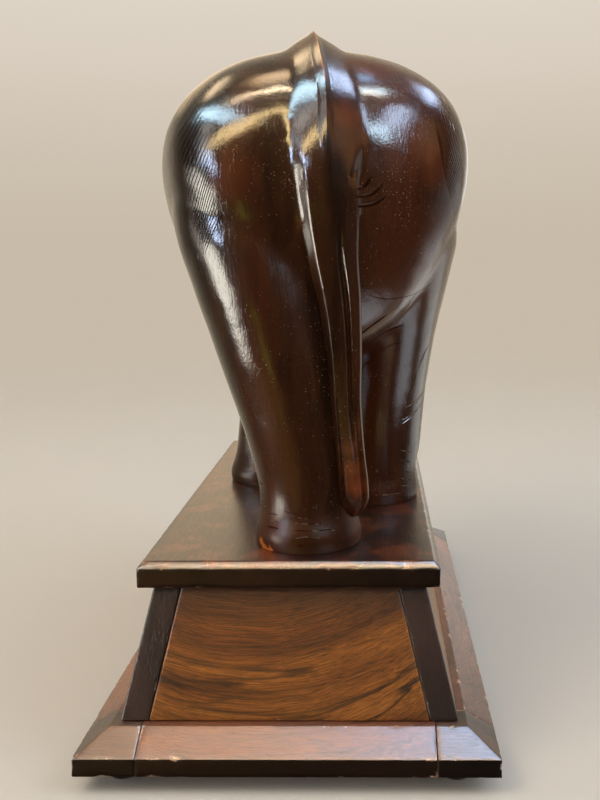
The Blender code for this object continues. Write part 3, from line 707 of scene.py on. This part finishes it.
def smoothRows(rows, steps):
    table = np.array(rows, dtype=float)
    padded = np.vstack([2 * table[0] - table[1], table, 2 * table[-1] - table[-2]])
    smooth = []
    for start in range(len(table) - 1):
        before, here, after, beyond = padded[start:start + 4]
        for step in range(steps):
            t = step / steps
            smooth.append(0.5 * (2 * here + (after - before) * t
                                 + (2 * before - 5 * here + 4 * after - beyond) * t ** 2
                                 + (3 * here - before - 3 * after + beyond) * t ** 3))
    smooth.append(table[-1])
    return smooth


def spot(along, sideways, height):
    return Vector((-sideways, -along, height))


def around(count):
    return [2 * math.pi * index / count for index in range(count)]


def rounded(value, fullness):
    return math.copysign(abs(value) ** (2 / fullness), value)


def bodyRing(along, top, widest, belly, halfWidth, shift):
    ring = []
    for turn in around(elephant["ringSides"]):
        if math.sin(turn) > 0:
            fullness = elephant["rightBackFullness"] if math.cos(turn) > 0 else elephant["leftBackFullness"]
            reach = top - widest
        else:
            fullness = elephant["bellyFullness"]
            reach = widest - belly
        ring.append(spot(along, shift + halfWidth * rounded(math.cos(turn), fullness),
                         widest + reach * rounded(math.sin(turn), fullness)))
    return ring


def legRing(height, along, sideways, halfLength, halfWidth):
    return [spot(along + halfLength * math.sin(turn), sideways + halfWidth * math.cos(turn), height)
            for turn in around(elephant["ringSides"])]


def pathFrames(rows):
    points = [spot(*row[:3]) for row in rows]
    for index, row in enumerate(rows):
        heading = (points[min(index + 1, len(points) - 1)] - points[max(index - 1, 0)]).normalized()
        across = Vector((-1, 0, 0))
        across = (across - across.dot(heading) * heading).normalized()
        yield points[index], across, heading.cross(across), row


def pathRings(rows):
    rings = []
    for point, across, outward, row in pathFrames(smoothRows(rows, elephant["bodySteps"])):
        rings.append([point + across * row[3] * math.cos(turn) + outward * row[4] * math.sin(turn)
                      for turn in around(elephant["pathSides"])])
    return rings


def ridgeRings(rows, upper="roof"):
    sides = np.linspace(-1, 1, ridge["sides"])
    sections = [np.interp(sides, *zip(*ridge[key])) for key in (upper, "shoulder", "tail", "tuft")]
    rings = []
    for point, across, outward, row in pathFrames(smoothRows(rows, ridge["steps"])):
        shares = np.clip(row[5:8], 0, 1)
        upperShare = 1 - sum(shares)
        halfWidth = row[3] * (1 + ridge["rootFlare"] * upperShare * (upper == "root"))
        out = sum(share * section for share, section in zip((upperShare, *shares), sections))
        ring = [point + across * halfWidth * side + outward * row[4] * lift for side, lift in zip(sides, out)]
        inside, deep = ridge["innerFoot"]
        ring.append(point + across * halfWidth * inside - outward * row[4] * deep)
        ring.append(point - across * halfWidth * inside - outward * row[4] * deep)
        rings.append(ring)
    return rings


def earRings(side):
    turns = np.radians([row[0] for row in elephant["earOutline"]])
    reaches = np.array([row[1] for row in elephant["earOutline"]])
    wrappedTurns = np.concatenate([turns - 2 * np.pi, turns, turns + 2 * np.pi])
    middle = elephant["earCentre"]
    rings = []
    for share, lift in elephant["earSection"]:
        ring = []
        for turn in around(elephant["ringSides"]):
            reach = share * float(np.interp(turn, wrappedTurns, np.tile(reaches, 3)))
            forward, up = reach * math.cos(turn), reach * math.sin(turn)
            flare = elephant["earFlare"] * reach * math.cos(turn)
            outward = middle[1] - flare + elephant["earThickness"] * lift
            ring.append(spot(middle[0] + forward, side * outward, middle[2] + up))
        rings.append(ring)
    return rings


def nailFrame(leg, turn):
    sole = leg[1]
    facing = math.radians(turn)
    forward = (math.cos(facing), math.sin(facing))
    inset = elephant["nailInset"]
    return sole[1] + inset * sole[3] * forward[0], sole[2] + inset * sole[4] * forward[1], forward


def nailRings(leg, turn):
    along, sideways, forward = nailFrame(leg, turn)
    halfWidth, tall = elephant["nail"]
    rings = []
    for level in elephant["nailLevels"]:
        reach = halfWidth * math.sqrt(max(1.0 - level ** 2, elephant["nailCrown"]))
        ring = []
        for t in around(elephant["nailSides"]):
            out = elephant["nailThickness"] * reach * math.cos(t)
            across = reach * math.sin(t)
            ring.append(spot(along + out * forward[0] - across * forward[1],
                             sideways + out * forward[1] + across * forward[0], tall * level))
        rings.append(ring)
    return rings


def skin(data, rings):
    loops = [[data.verts.new(point) for point in ring] for ring in rings]
    data.faces.new(loops[0])
    data.faces.new(reversed(loops[-1]))
    for ring, following in zip(loops, loops[1:]):
        for index in range(len(ring)):
            after = (index + 1) % len(ring)
            data.faces.new((ring[after], ring[index], following[index], following[after]))


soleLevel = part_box("elephant")[0].z
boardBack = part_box("top_board")[1].y
standing = (Matrix.Translation((-elephant["rumpOffset"], boardBack - elephant["rumpSetback"], soleLevel))
            @ Matrix.Rotation(elephant["heading"], 4, "Z") @ Matrix.Scale(elephant["height"], 4))


def onElephant(along, sideways, height):
    return standing @ spot(along, sideways, height)


def placedMesh(name, data):
    bmesh.ops.recalc_face_normals(data, faces=data.faces)
    mesh = newMesh(name, data)
    mesh.transform(standing)
    return mesh


legs = ("hindLeft", "hindRight", "frontLeft", "frontRight")


def makeBody():
    data = bmesh.new()
    skin(data, [bodyRing(*row) for row in smoothRows(elephant["body"], elephant["bodySteps"])])
    skin(data, [bodyRing(*row, 0.0) for row in smoothRows(elephant["head"], elephant["bodySteps"])])
    for leg in legs:
        rows = smoothRows(elephant[leg], elephant["legSteps"])
        below = np.array(rows[0]) - np.array((elephant["legSurplus"], 0, 0, 0, 0))
        skin(data, [legRing(*row) for row in [below] + rows])
        for turn in elephant["nailTurns"]:
            skin(data, nailRings(elephant[leg], turn))
    otherTusk = tuple((row[0], -row[1], *row[2:]) for row in elephant["tusk"])
    for path in (elephant["trunk"], elephant["jaw"], elephant["tusk"], otherTusk):
        skin(data, pathRings(path))
    for side in (-1, 1):
        skin(data, earRings(side))
    # The crest's root melts into the back; its sharp edge comes later.
    skin(data, ridgeRings(ridge["path"][:ridge["rootRows"]], "root"))
    block = newPiece("carving_block", placedMesh("carving_block", data), carvedWood)
    fuse = block.modifiers.new("fuse", "REMESH")
    fuse.mode = "VOXEL"
    fuse.voxel_size = elephant["voxel"]
    soften = block.modifiers.new("soften", "SMOOTH")
    soften.factor = 0.5
    soften.iterations = elephant["smoothing"]
    mesh = bakedMesh(block)
    bpy.data.objects.remove(block)
    return mesh


def uneven(mesh):
    # The gouge and the scraper leave the flat parts a little wavy.
    size = len(mesh.vertices)
    places = np.empty(size * 3)
    normals = np.empty(size * 3)
    mesh.vertices.foreach_get("co", places)
    mesh.vertex_normals.foreach_get("vector", normals)
    places = places.reshape(-1, 3)
    normals = normals.reshape(-1, 3)
    coarse, fine, share = elephant["waves"]
    moves = [noise.noise(Vector(p) * coarse) + share * noise.noise(Vector(p) * fine) for p in places]
    places += normals * elephant["unevenness"] * np.array(moves)[:, None]
    mesh.vertices.foreach_set("co", places.ravel())
    mesh.update()


bodyMesh = makeBody()
uneven(bodyMesh)
print("body fused", len(bodyMesh.polygons))

bodySurface = BVHTree.FromPolygons([vert.co[:] for vert in bodyMesh.vertices],
                                   [face.vertices[:] for face in bodyMesh.polygons])


def onSurface(x, y):
    # A stroke's point: where the camera's ray through that pixel meets the carving.
    origin, direction = pixelRay(x, y)
    hit = bodySurface.ray_cast(origin, direction)[0]
    if hit is None:
        middle = onElephant(*elephant["middle"])
        hit = bodySurface.find_nearest(origin + direction * (middle - origin).dot(direction))[0]
    return hit


def strokeFamily(rows, count):
    # Lines that lie between the given ones.
    lines = []
    for index in range(count):
        position = index / (count - 1) * (len(rows) - 1)
        row = min(int(position), len(rows) - 2)
        lines.append([a + (b - a) * (position - row) for a, b in zip(rows[row], rows[row + 1])])
    return lines


# Strokes cut with a V tool: each line is x, y, x, y by pixels of the photograph
strokes = {
    "leftFlank": strokeFamily((
        (196, 86, 183, 100, 173, 118), (202, 97, 188, 118, 175, 140), (203, 112, 190, 136, 179, 160),
        (204, 128, 193, 152, 184, 178), (208, 142, 197, 168, 188, 198), (211, 156, 201, 183, 192, 214),
        (212, 172, 203, 198, 195, 226), (213, 188, 206, 211, 198, 238), (217, 199, 209, 222, 201, 248),
        (222, 210, 213, 232, 204, 257),
    ), 26),
    "rightFlank": strokeFamily((
        (437, 90, 456, 138, 463, 190), (431, 96, 450, 150, 460, 208), (431, 108, 447, 165, 456, 224),
        (436, 132, 446, 180, 453, 236),
    ), 13),
    "creases": [
        [357, 190, 364, 187, 372, 177], [354, 196, 368, 196, 378, 190, 384, 182],
        [353, 206, 368, 206, 379, 202, 386, 196], [355, 340, 369, 328, 388, 314],
        [355, 357, 367, 345, 384, 333, 403, 325],
    ],
    "thin": [
        [364, 291, 374, 297, 386, 299, 405, 297, 420, 291, 434, 281], [388, 314, 398, 306, 402, 299],
        [380, 352, 391, 345, 403, 342], [358, 372, 366, 364, 376, 357], [233, 150, 236, 154, 235, 160],
    ],
    "lowerLeg": [
        [433, 346, 421, 357], [432, 350, 419, 362], [431, 355, 416, 370], [432, 359, 413, 379],
        [431, 364, 411, 385], [429, 369, 409, 392], [428, 374, 411, 394], [427, 380, 406, 404],
        [425, 386, 405, 408], [423, 392, 413, 406], [424, 397, 402, 420], [419, 407, 402, 424],
    ],
    "ankle": [
        [268, 513, 278, 515], [269, 520.5, 278, 522], [266, 526, 279, 529],
        [284, 511, 290, 513, 298, 514], [289, 516, 300, 518, 310, 519],
        [292, 522.5, 304, 524, 315, 524, 327, 526], [291, 530.5, 312, 531, 330, 530, 340, 531],
        [294, 539, 306, 537, 327, 539], [258, 480, 265, 486], [258, 486, 265, 492], [258, 493, 266, 499],
        [259, 500, 267, 506], [298, 546, 306, 546], [234, 447, 246, 449], [233, 454, 246, 457],
        [231, 461, 245, 465], [230, 468, 244, 472], [400, 450, 411, 452], [400, 460, 411, 462],
        [399, 470, 411, 473], [399, 478, 411, 480], [401, 486, 416, 484], [403, 493, 417, 490],
    ],
}

# Half width at the surface and depth of each group's cuts, in millimetres
cuts = {
    "leftFlank": (0.36, 0.40), "rightFlank": (0.36, 0.40), "creases": (1.25, 1.4), "thin": (0.35, 0.35),
    "lowerLeg": (0.42, 0.5), "ankle": (0.40, 0.45), "eye": (0.6, 0.6), "trunk": (0.7, 0.5),
    "nails": (0.6, 0.6), "ear": (1.0, 0.6), "earEdge": (1.6, 1.8), "side": (0.4, 0.4),
    "ankleSide": (0.42, 0.42),
}

# The sides that the photograph doesn't show are finished in the same way, and plainer.
hidden = {
    "eye": (0.955, 0.150, 0.775),
    "eyeStretch": (1.25, 0.8),
    "eyeArcs": ((0.020, 0, 360), (0.031, 20, 160), (0.030, 205, 330)),
    "mouth": ((0.925, 0.10, 0.598), (0.955, 0.085, 0.585), (0.985, 0.05, 0.578)),
    "earSide": 0.30,
    # The ear's back edge, a deep cut that sets it off from the shoulder, and its folds
    "earEdge": (92, 264, 6),
    "earFolds": ((110, 0.3, 0.8), (150, 0.3, 0.8), (195, 0.35, 0.8), (230, 0.35, 0.8)),
    "earBend": math.radians(8),
    # The flanks' lines: how many, where the first one starts and ends, steps to the next, bow
    "flankLines": 11,
    "flankTop": (0.30, 0.030, 0.60, -0.006),
    "flankLow": (0.27, 0.030, 0.44, 0.004),
    "flankBow": 0.006,
    # The trunk's rings: first station, stations left out at the tip, step; half turn, lean, reach
    "trunkRings": (10, 3, 2),
    "trunkTurn": 1.15,
    "trunkLean": 0.02,
    "trunkReach": (0.02, 1.2),
    # The line over a nail: width and height in its own, how far out, lowest level, spare turn
    "nailArch": (1.15, 1.2, 0.02, 0.006, 0.15),
    # The ankles' lines: levels; where one starts, its shift with the level, its length and reach
    "ankleLegs": ("frontLeft", "frontRight", "hindRight"),
    "ankleLevels": (0.052, 0.062, 0.074),
    "ankleTurns": (-0.9, 5, 1.3, 1.3),
}


def earPoint(turn, share, bend, side):
    middle = elephant["earCentre"]
    reach = share * float(np.interp(turn, *zip(*elephant["earOutline"])))
    angle = math.radians(turn) + bend
    return middle[0] + reach * math.cos(angle), hidden["earSide"] * side, middle[2] + reach * math.sin(angle)


def headStrokes(made, side):
    along, sideways, height = hidden["eye"]
    wide, tall = hidden["eyeStretch"]
    for reach, start, end in hidden["eyeArcs"]:
        made["eye"].append([(along + wide * reach * math.cos(math.radians(t)), sideways * side,
                             height + tall * reach * math.sin(math.radians(t)))
                            for t in np.linspace(start, end, 25)])
    made["earEdge"].append([earPoint(turn, 1.0, 0.0, side) for turn in range(*hidden["earEdge"])])
    for turn, near, far in hidden["earFolds"]:
        made["ear"].append([earPoint(turn, share, hidden["earBend"] * share, side)
                            for share in np.linspace(near, far, 9)])
    made["eye"].append([(along, sideways * side, height) for along, sideways, height in hidden["mouth"]])


def flankStrokes(made, side):
    (topAlong, topStep, topHeight, topDrop), (lowAlong, lowStep, lowHeight, lowDrop) = (
        hidden["flankTop"], hidden["flankLow"])
    for step in range(hidden["flankLines"]):
        top = (topAlong + topStep * step, 0.5 * side, topHeight + topDrop * step)
        low = (lowAlong + lowStep * step, 0.5 * side, lowHeight + lowDrop * step)
        middle = (0.5 * (top[0] + low[0]) + hidden["flankBow"], top[1], 0.5 * (top[2] + low[2]))
        made["side"].append([top, middle, low])


def trunkStrokes(made):
    trunk = smoothRows(elephant["trunk"], elephant["bodySteps"])
    first, last, step = hidden["trunkRings"]
    out, wide = hidden["trunkReach"]
    for index in range(first, len(trunk) - last, step):
        along, sideways, height, halfWidth, halfDepth = trunk[index]
        made["trunk"].append([(along + (halfDepth + out) * math.cos(t), halfWidth * wide * math.sin(t),
                               height + hidden["trunkLean"] * math.cos(t))
                              for t in np.linspace(-hidden["trunkTurn"], hidden["trunkTurn"], 15)])


def footStrokes(made):
    wide, tall, out, lowest, spare = hidden["nailArch"]
    for leg in legs:
        for turn in elephant["nailTurns"]:
            along, sideways, forward = nailFrame(elephant[leg], turn)
            halfWidth, nailTall = elephant["nail"]
            arch = []
            for t in np.linspace(-spare, math.pi + spare, 15):
                across = wide * halfWidth * math.cos(t)
                arch.append((along + out * forward[0] - across * forward[1],
                             sideways + out * forward[1] + across * forward[0],
                             max(lowest, tall * nailTall * math.sin(t))))
            made["nails"].append(arch)
    start, perLevel, length, wider = hidden["ankleTurns"]
    for leg in hidden["ankleLegs"]:
        table = np.array(elephant[leg])
        for level in hidden["ankleLevels"]:
            row = [float(np.interp(level, table[:, 0], table[:, column])) for column in range(1, 5)]
            turn = start + perLevel * level
            made["ankleSide"].append([(row[0] + wider * row[2] * math.cos(t),
                                       row[1] + wider * row[3] * math.sin(t), level)
                                      for t in np.linspace(turn, turn + length, 12)])


def hiddenStrokes():
    made = {name: [] for name in ("eye", "trunk", "nails", "ear", "earEdge", "side", "ankleSide")}
    for side in (-1, 1):
        headStrokes(made, side)
        flankStrokes(made, side)
    trunkStrokes(made)
    footStrokes(made)
    return made


strokeLines = {name: [[onSurface(x, y) for x, y in zip(line[::2], line[1::2])] for line in lines]
               for name, lines in strokes.items()}
for name, lines in hiddenStrokes().items():
    strokeLines[name] = [[bodySurface.find_nearest(onElephant(*place))[0] for place in line]
                         for line in lines]


def laidLine(points, gap):
    # A smooth curve through a stroke's few points, laid on the carving: places and the ways they face.
    if len(points) > 2:
        points = [Vector(row) for row in smoothRows([point[:] for point in points], 4)]
    length = sum((b - a).length for a, b in zip(points, points[1:]))
    count = max(5, int(length / gap))
    runs = np.cumsum([0.0] + [(b - a).length for a, b in zip(points, points[1:])])
    table = np.array([point[:] for point in points])
    places = [Vector([np.interp(share, runs, table[:, axis]) for axis in range(3)])
              for share in np.linspace(0, runs[-1], count + 1)]
    return [bodySurface.find_nearest(place)[:2] for place in places]


# The V tool's profile has this half width at mid height; strokes start thin and widen along a share
vTool = {"wedgeHalf": 0.577, "thinEnd": 0.2, "widening": 0.25}


def cutterTree():
    tree = bpy.data.node_groups.new("vToolCutters", "GeometryNodeTree")
    sockets = {"Geometry": "Geometry", "Half width": "Float", "Depth": "Float", "Wood": "Material"}
    for name, kind in sockets.items():
        tree.interface.new_socket(name, in_out="INPUT", socket_type=f"NodeSocket{kind}")
    tree.interface.new_socket("Geometry", in_out="OUTPUT", socket_type="NodeSocketGeometry")
    given = addNode(tree, "NodeGroupInput", {}, {}).outputs
    line = shaped(tree, "MeshToCurve", {"Mesh": given["Geometry"]})
    facing = shaped(tree, "InputNamedAttribute", {"Name": "facing"}, data_type="FLOAT_VECTOR")
    taper = shaped(tree, "InputNamedAttribute", {"Name": "taper"}, data_type="FLOAT")
    turned = shaped(tree, "SetCurveNormal", {"Curve": line, "Normal": facing}, mode="FREE")
    # A three-sided profile, its point down: it is as wide as asked where it meets the surface.
    wedge = shaped(tree, "CurvePrimitiveCircle", {"Resolution": 3, "Radius": 1.0})
    wide = calculated(tree, "DIVIDE", given["Half width"], vTool["wedgeHalf"])
    profile = shaped(tree, "Transform", {
        "Geometry": wedge, "Rotation": (0, 0, -math.pi / 2),
        "Scale": combinedXYZ(tree, given["Depth"], wide, 1.0)})
    swept = shaped(tree, "CurveToMesh", {
        "Curve": turned, "Profile Curve": profile, "Scale": taper, "Fill Caps": True})
    real = shaped(tree, "RealizeInstances", {0: swept})
    finished = shaped(tree, "SetMaterial", {"Geometry": real, "Material": given["Wood"]})
    addNode(tree, "NodeGroupOutput", {}, {0: finished})
    return tree


cutters = cutterTree()


def makeCutter(lines, halfWidth, depth):
    # One wedge for each stroke, thin at both ends.
    data = bmesh.new()
    taper = data.verts.layers.float.new("taper")
    facing = data.verts.layers.float_vector.new("facing")
    for line in lines:
        before = None
        last = len(line) - 1
        for index, (place, normal) in enumerate(line):
            vert = data.verts.new(place)
            inward = min(index, last - index) / max(1.0, vTool["widening"] * last)
            vert[taper] = min(1.0, vTool["thinEnd"] + inward)
            vert[facing] = normal
            if before:
                data.edges.new((before, vert))
            before = vert
    cutter = newPiece("v_tool", newMesh("v_tool", data), carvedWood)
    sweep = cutter.modifiers.new("sweep", "NODES")
    sweep.node_group = cutters
    values = {"Half width": halfWidth, "Depth": depth, "Wood": carvedWood}
    for socket in cutters.interface.items_tree:
        if socket.in_out == "INPUT" and socket.name in values:
            sweep[socket.identifier] = values[socket.name]
    data = bmesh.new()
    data.from_mesh(bakedMesh(cutter))
    bmesh.ops.recalc_face_normals(data, faces=data.faces)
    cutter.modifiers.clear()
    cutter.data = newMesh("v_tool", data)
    return cutter


def combined(piece, other, operation):
    join = piece.modifiers.new(operation.lower(), "BOOLEAN")
    join.operation = operation
    join.solver = "MANIFOLD"
    join.object = other
    mesh = bakedMesh(piece)
    piece.modifiers.clear()
    piece.data = mesh
    bpy.data.objects.remove(other)


def markWood(data, rings):
    # Layers that the wood reads: bare wood on the crest's edge and in chips, a painted highlight in the cuts,
    # and heartwood.
    layers = {name: data.verts.layers.float.new(name) for name in ("worn", "wax", "heart")}
    tree = kdtree.KDTree(len(data.verts))
    for index, vert in enumerate(data.verts):
        tree.insert(vert.co, index)
    tree.balance()
    data.verts.ensure_lookup_table()
    middle = ridge["sides"] // 2
    first, last, reach, share = ridge["rubbed"]
    bareSpots = [(standing @ ring[middle], reach, share) for ring in rings[first:last]]
    bareSpots += [(onSurface(x, y), reach * millimetre, share) for x, y, reach, share in ridge["chips"]]
    for place, reach, share in bareSpots:
        for corner, index, gap in tree.find_range(place, reach):
            data.verts[index][layers["worn"]] = share
    # Pale painted highlight laid in the bottom of some cuts, in patches
    scale, level, contrast = elephant["cutHighlightPatches"]
    for name, share in elephant["wax"].items():
        halfWidth, depth = (value * millimetre for value in cuts[name])
        for line in strokeLines[name]:
            for place, facing in laidLine(line, elephant["cutHighlightGap"]):
                reach = elephant["cutHighlightReach"] * halfWidth
                for corner, index, gap in tree.find_range(place - facing * depth, reach):
                    patch = level + contrast * noise.noise(corner * scale)
                    data.verts[index][layers["wax"]] = share * min(1.0, max(0.0, patch))
    outside = BVHTree.FromBMesh(data)
    heart = layers["heart"]
    for x, y, reach, share in elephant["heart"]:
        place = outside.ray_cast(*pixelRay(x, y))[0]
        for corner, index, gap in tree.find_range(place, reach * millimetre):
            strength = share * (1 - (gap / (reach * millimetre)) ** 2)
            data.verts[index][heart] = max(data.verts[index][heart], strength)


def makeElephant():
    carving = newPiece("carved_elephant", bodyMesh, carvedWood)
    for name, lines in strokeLines.items():
        halfWidth, depth = (value * millimetre for value in cuts[name])
        laid = [laidLine(line, elephant["strokeGap"]) for line in lines]
        combined(carving, makeCutter(laid, halfWidth, depth), "DIFFERENCE")
    print("strokes cut", len(carving.data.polygons))
    data = bmesh.new()
    rings = ridgeRings(ridge["path"])
    skin(data, rings)
    combined(carving, newPiece("crest_and_tail", placedMesh("crest_and_tail", data), carvedWood), "UNION")
    # The soles are sawn flat at one level.
    data = bmesh.new()
    bmesh.ops.create_cube(data, size=1.0)
    bmesh.ops.scale(data, vec=elephant["waste"], verts=data.verts)
    bmesh.ops.translate(data, vec=(0, 0, soleLevel - elephant["waste"][2] / 2), verts=data.verts)
    combined(carving, newPiece("waste", newMesh("waste", data), carvedWood), "DIFFERENCE")
    data = bmesh.new()
    data.from_mesh(carving.data)
    bmesh.ops.triangulate(data, faces=[face for face in data.faces if len(face.verts) > 3])
    markWood(data, rings)
    print("open edges", sum(len(edge.link_faces) < 2 for edge in data.edges),
          "shared edges", sum(len(edge.link_faces) > 2 for edge in data.edges), "triangles", len(data.faces))
    finished = newMesh("carved_elephant", data)
    finished.materials.append(carvedWood)
    carving.data = finished
    finished.shade_smooth()
    finished.set_sharp_from_angle(angle=elephant["sharpAngle"])
    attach(carving, "root")
    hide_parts("elephant")


makeElephant()
print("elephant carved")

# A plain pale floor that fades into a plain backdrop, in soft studio light.
studio = {
    "floorSize": 14.0,
    "floorColour": "#efe9e0",
    "fade": (0.5, 2.4),
    "backdropHigh": "#e2d8cb",
    "backdropLow": "#c8bba9",
    "backdropRise": (0.0, 0.35),
    "dayColour": "#efe9e0",
    "day": 0.62,
    "roomColour": "#6b5238",
    "room": 0.12,
    "paleColour": "#e0cfb4",
    "pale": 0.7,
    "paleRange": (0.1, -0.9),
    "softEdge": 0.5,
    "lightsAim": (0, 0.05, 0.2),
}
# What shines in the lacquer. Each soft light: colour, brightness, azimuth (0 behind the camera,
# 90 to its left), elevation, width, height and tilt, all in degrees
softLights = {
    "coolLeft": ("#c8ecff", 22.0, 62, 46, 58, 15, 0),
    "warmStrip": ("#ffdc9c", 20.0, 22, 36, 78, 11, -28),
    "coolRightLow": ("#ccecff", 23.0, -34, 27, 25, 13, 20),
    "coolRight": ("#c8deff", 16.0, -54, 35, 38, 13, -40),
    "rightSpot": ("#d6f2ff", 24.0, -60, 60, 18, 13, 0),
    "crestRight": ("#c2d8ff", 12.0, -119, 44, 36, 16, 0),
    "crestWarm": ("#ffe0b4", 9.0, 124, 50, 28, 12, 0),
    "crestWhite": ("#efe6dc", 8.0, 60, 33, 14, 9, 0),
    "crestLow": ("#c4ccd8", 6.0, 58, 22, 18, 16, 0),
    "blueFlank": ("#c8dcff", 32.0, 52, 11, 16, 12, 20),
    "whiteLeft": ("#f4efe0", 17.0, 66, -7, 32, 24, 0),
    "tailLeft": ("#e6dcd0", 2.2, 86, -2, 20, 16, 0),
    "warmFarLeft": ("#ffd9a0", 0.8, 150, 25, 26, 14, 0),
    "warmRight": ("#ffb070", 1.1, -76, 22, 36, 30, 0),
    "warmLow": ("#ffb45c", 0.55, 30, -22, 60, 20, 0),
    "yellowGlint": ("#e2d24a", 2.4, 24, -10, 8, 12, 0),
    "rightFloor": ("#ccd2d8", 3.2, -80, -52, 50, 24, 0),
    "rightLow": ("#d4d8dc", 1.2, -128, -24, 60, 22, 0),
    "rightGraze": ("#d6dade", 0.7, -113, -4, 50, 50, 0),
    "leftGraze": ("#d8c8b0", 0.3, 135, 7, 34, 30, 0),
    "farRight": ("#e2e6ea", 1.1, -162, 6, 26, 16, 0),
    "boardGlow": ("#ffdcae", 0.8, 170, 17, 26, 18, 0),
    "topWarm": ("#ffd6a4", 11.0, 90, 82, 26, 24, 0),
    "topCool": ("#9fd0ff", 46.0, -80, 81, 22, 16, 0),
    "topBack": ("#ffe2b8", 42.0, 0, 68, 60, 9, 0),
}
# What lights the colours: place, size, colour and brightness
dayLights = {
    "key": ((1.1, 0.8, 1.7), (1.1, 1.1), "#ffefd8", 3.1),
    "fill": ((-1.4, 0.5, 1.2), (1.0, 1.0), "#d4e6ff", 2.4),
}


def makeFloor():
    half = studio["floorSize"] / 2
    data = bmesh.new()
    corners = ((-half, -half, 0), (half, -half, 0), (half, half, 0), (-half, half, 0))
    data.faces.new([data.verts.new(corner) for corner in corners])
    material, tree, shader = newMaterial("paleStudioFloor")
    setInputs(tree, shader, {
        "Base Color": linear(studio["floorColour"]), "Roughness": 0.9, "Specular IOR Level": 0.1})
    # Further away the floor has the backdrop's colour.
    distance = addNode(tree, "ShaderNodeVectorMath", {"operation": "LENGTH"}, {0: coordinates(tree)})
    share = ranged(tree, distance.outputs["Value"], *studio["fade"])
    far = addNode(tree, "ShaderNodeEmission", {}, {"Color": linear(studio["backdropLow"])})
    blended = addNode(tree, "ShaderNodeMixShader", {}, {0: share, 1: shader.outputs[0], 2: far.outputs[0]})
    tree.links.new(blended.outputs[0], tree.nodes["Material Output"].inputs[0])
    floor = newPiece("floor", newMesh("floor", data), material)
    floor.visible_glossy = False


def lightAxes(azimuth, elevation, tilt):
    turn, rise, lean = (math.radians(angle) for angle in (azimuth, elevation, tilt))
    towards = Vector((math.sin(turn) * math.cos(rise), math.cos(turn) * math.cos(rise), math.sin(rise)))
    level = Vector((math.cos(turn), -math.sin(turn), 0))
    up = towards.cross(level)
    if up.z < 0:
        up = -up
    across = level * math.cos(lean) + up * math.sin(lean)
    return across, towards.cross(across), towards


def dimmed(colour, share):
    return [channel * studio[share] for channel in linear(studio[colour])]


def makeWorld():
    world = bpy.data.worlds.new("studio")
    scene.world = world
    world.use_nodes = True
    tree = world.node_tree
    place = coordinates(tree, "Generated")
    across, towards, up = separatedXYZ(tree, place)
    rise = ranged(tree, up, *studio["backdropRise"])
    seen = mixed(tree, rise, linear(studio["backdropLow"]), linear(studio["backdropHigh"]))
    # In the lacquer the room behind the camera is dim, the backdrop beyond the head is pale, and
    # the soft lights stand around.
    beyond = ranged(tree, towards, *studio["paleRange"])
    shine = mixed(tree, beyond, dimmed("roomColour", "room"), dimmed("paleColour", "pale"))
    for name, (colour, brightness, azimuth, elevation, width, height, tilt) in softLights.items():
        axes = lightAxes(azimuth, elevation, tilt)
        turned = Matrix(axes).transposed().to_euler()
        reach = [math.tan(math.radians(angle) / 2) for angle in (width, height)] + [1.0]
        local = addNode(tree, "ShaderNodeMapping", {"vector_type": "TEXTURE", "label": name}, {
            "Vector": place, "Location": axes[2], "Rotation": turned, "Scale": reach})
        ball = addNode(tree, "ShaderNodeTexGradient", {"gradient_type": "SPHERICAL"}, {0: local.outputs[0]})
        share = ranged(tree, ball.outputs["Fac"], 0.0, studio["softEdge"], 0.0, brightness)
        shine = summed(tree, "ADD", shine, scaled(tree, linear(colour)[:3], share))
    path = addNode(tree, "ShaderNodeLightPath", {}, {}).outputs
    lit = mixed(tree, path["Is Glossy Ray"], dimmed("dayColour", "day"), shine)
    final = mixed(tree, path["Is Camera Ray"], lit, seen)
    tree.links.new(final, tree.nodes["Background"].inputs[0])


def hangLights():
    for name, (position, size, colour, brightness) in dayLights.items():
        data = bpy.data.lights.new(name, "AREA")
        data.shape = "RECTANGLE"
        data.size, data.size_y = size
        data.energy = brightness * math.pi * size[0] * size[1]
        data.color = linear(colour)[:3]
        light = bpy.data.objects.new(name, data)
        scene.collection.objects.link(light)
        facing = (Vector(studio["lightsAim"]) - Vector(position)).to_track_quat("-Z", "Y")
        light.matrix_world = Matrix.Translation(position) @ facing.to_matrix().to_4x4()
        light.visible_camera = False
        light.visible_glossy = False


makeFloor()
makeWorld()
hangLights()
scene.view_settings.view_transform = "Standard"
print("studio lit")
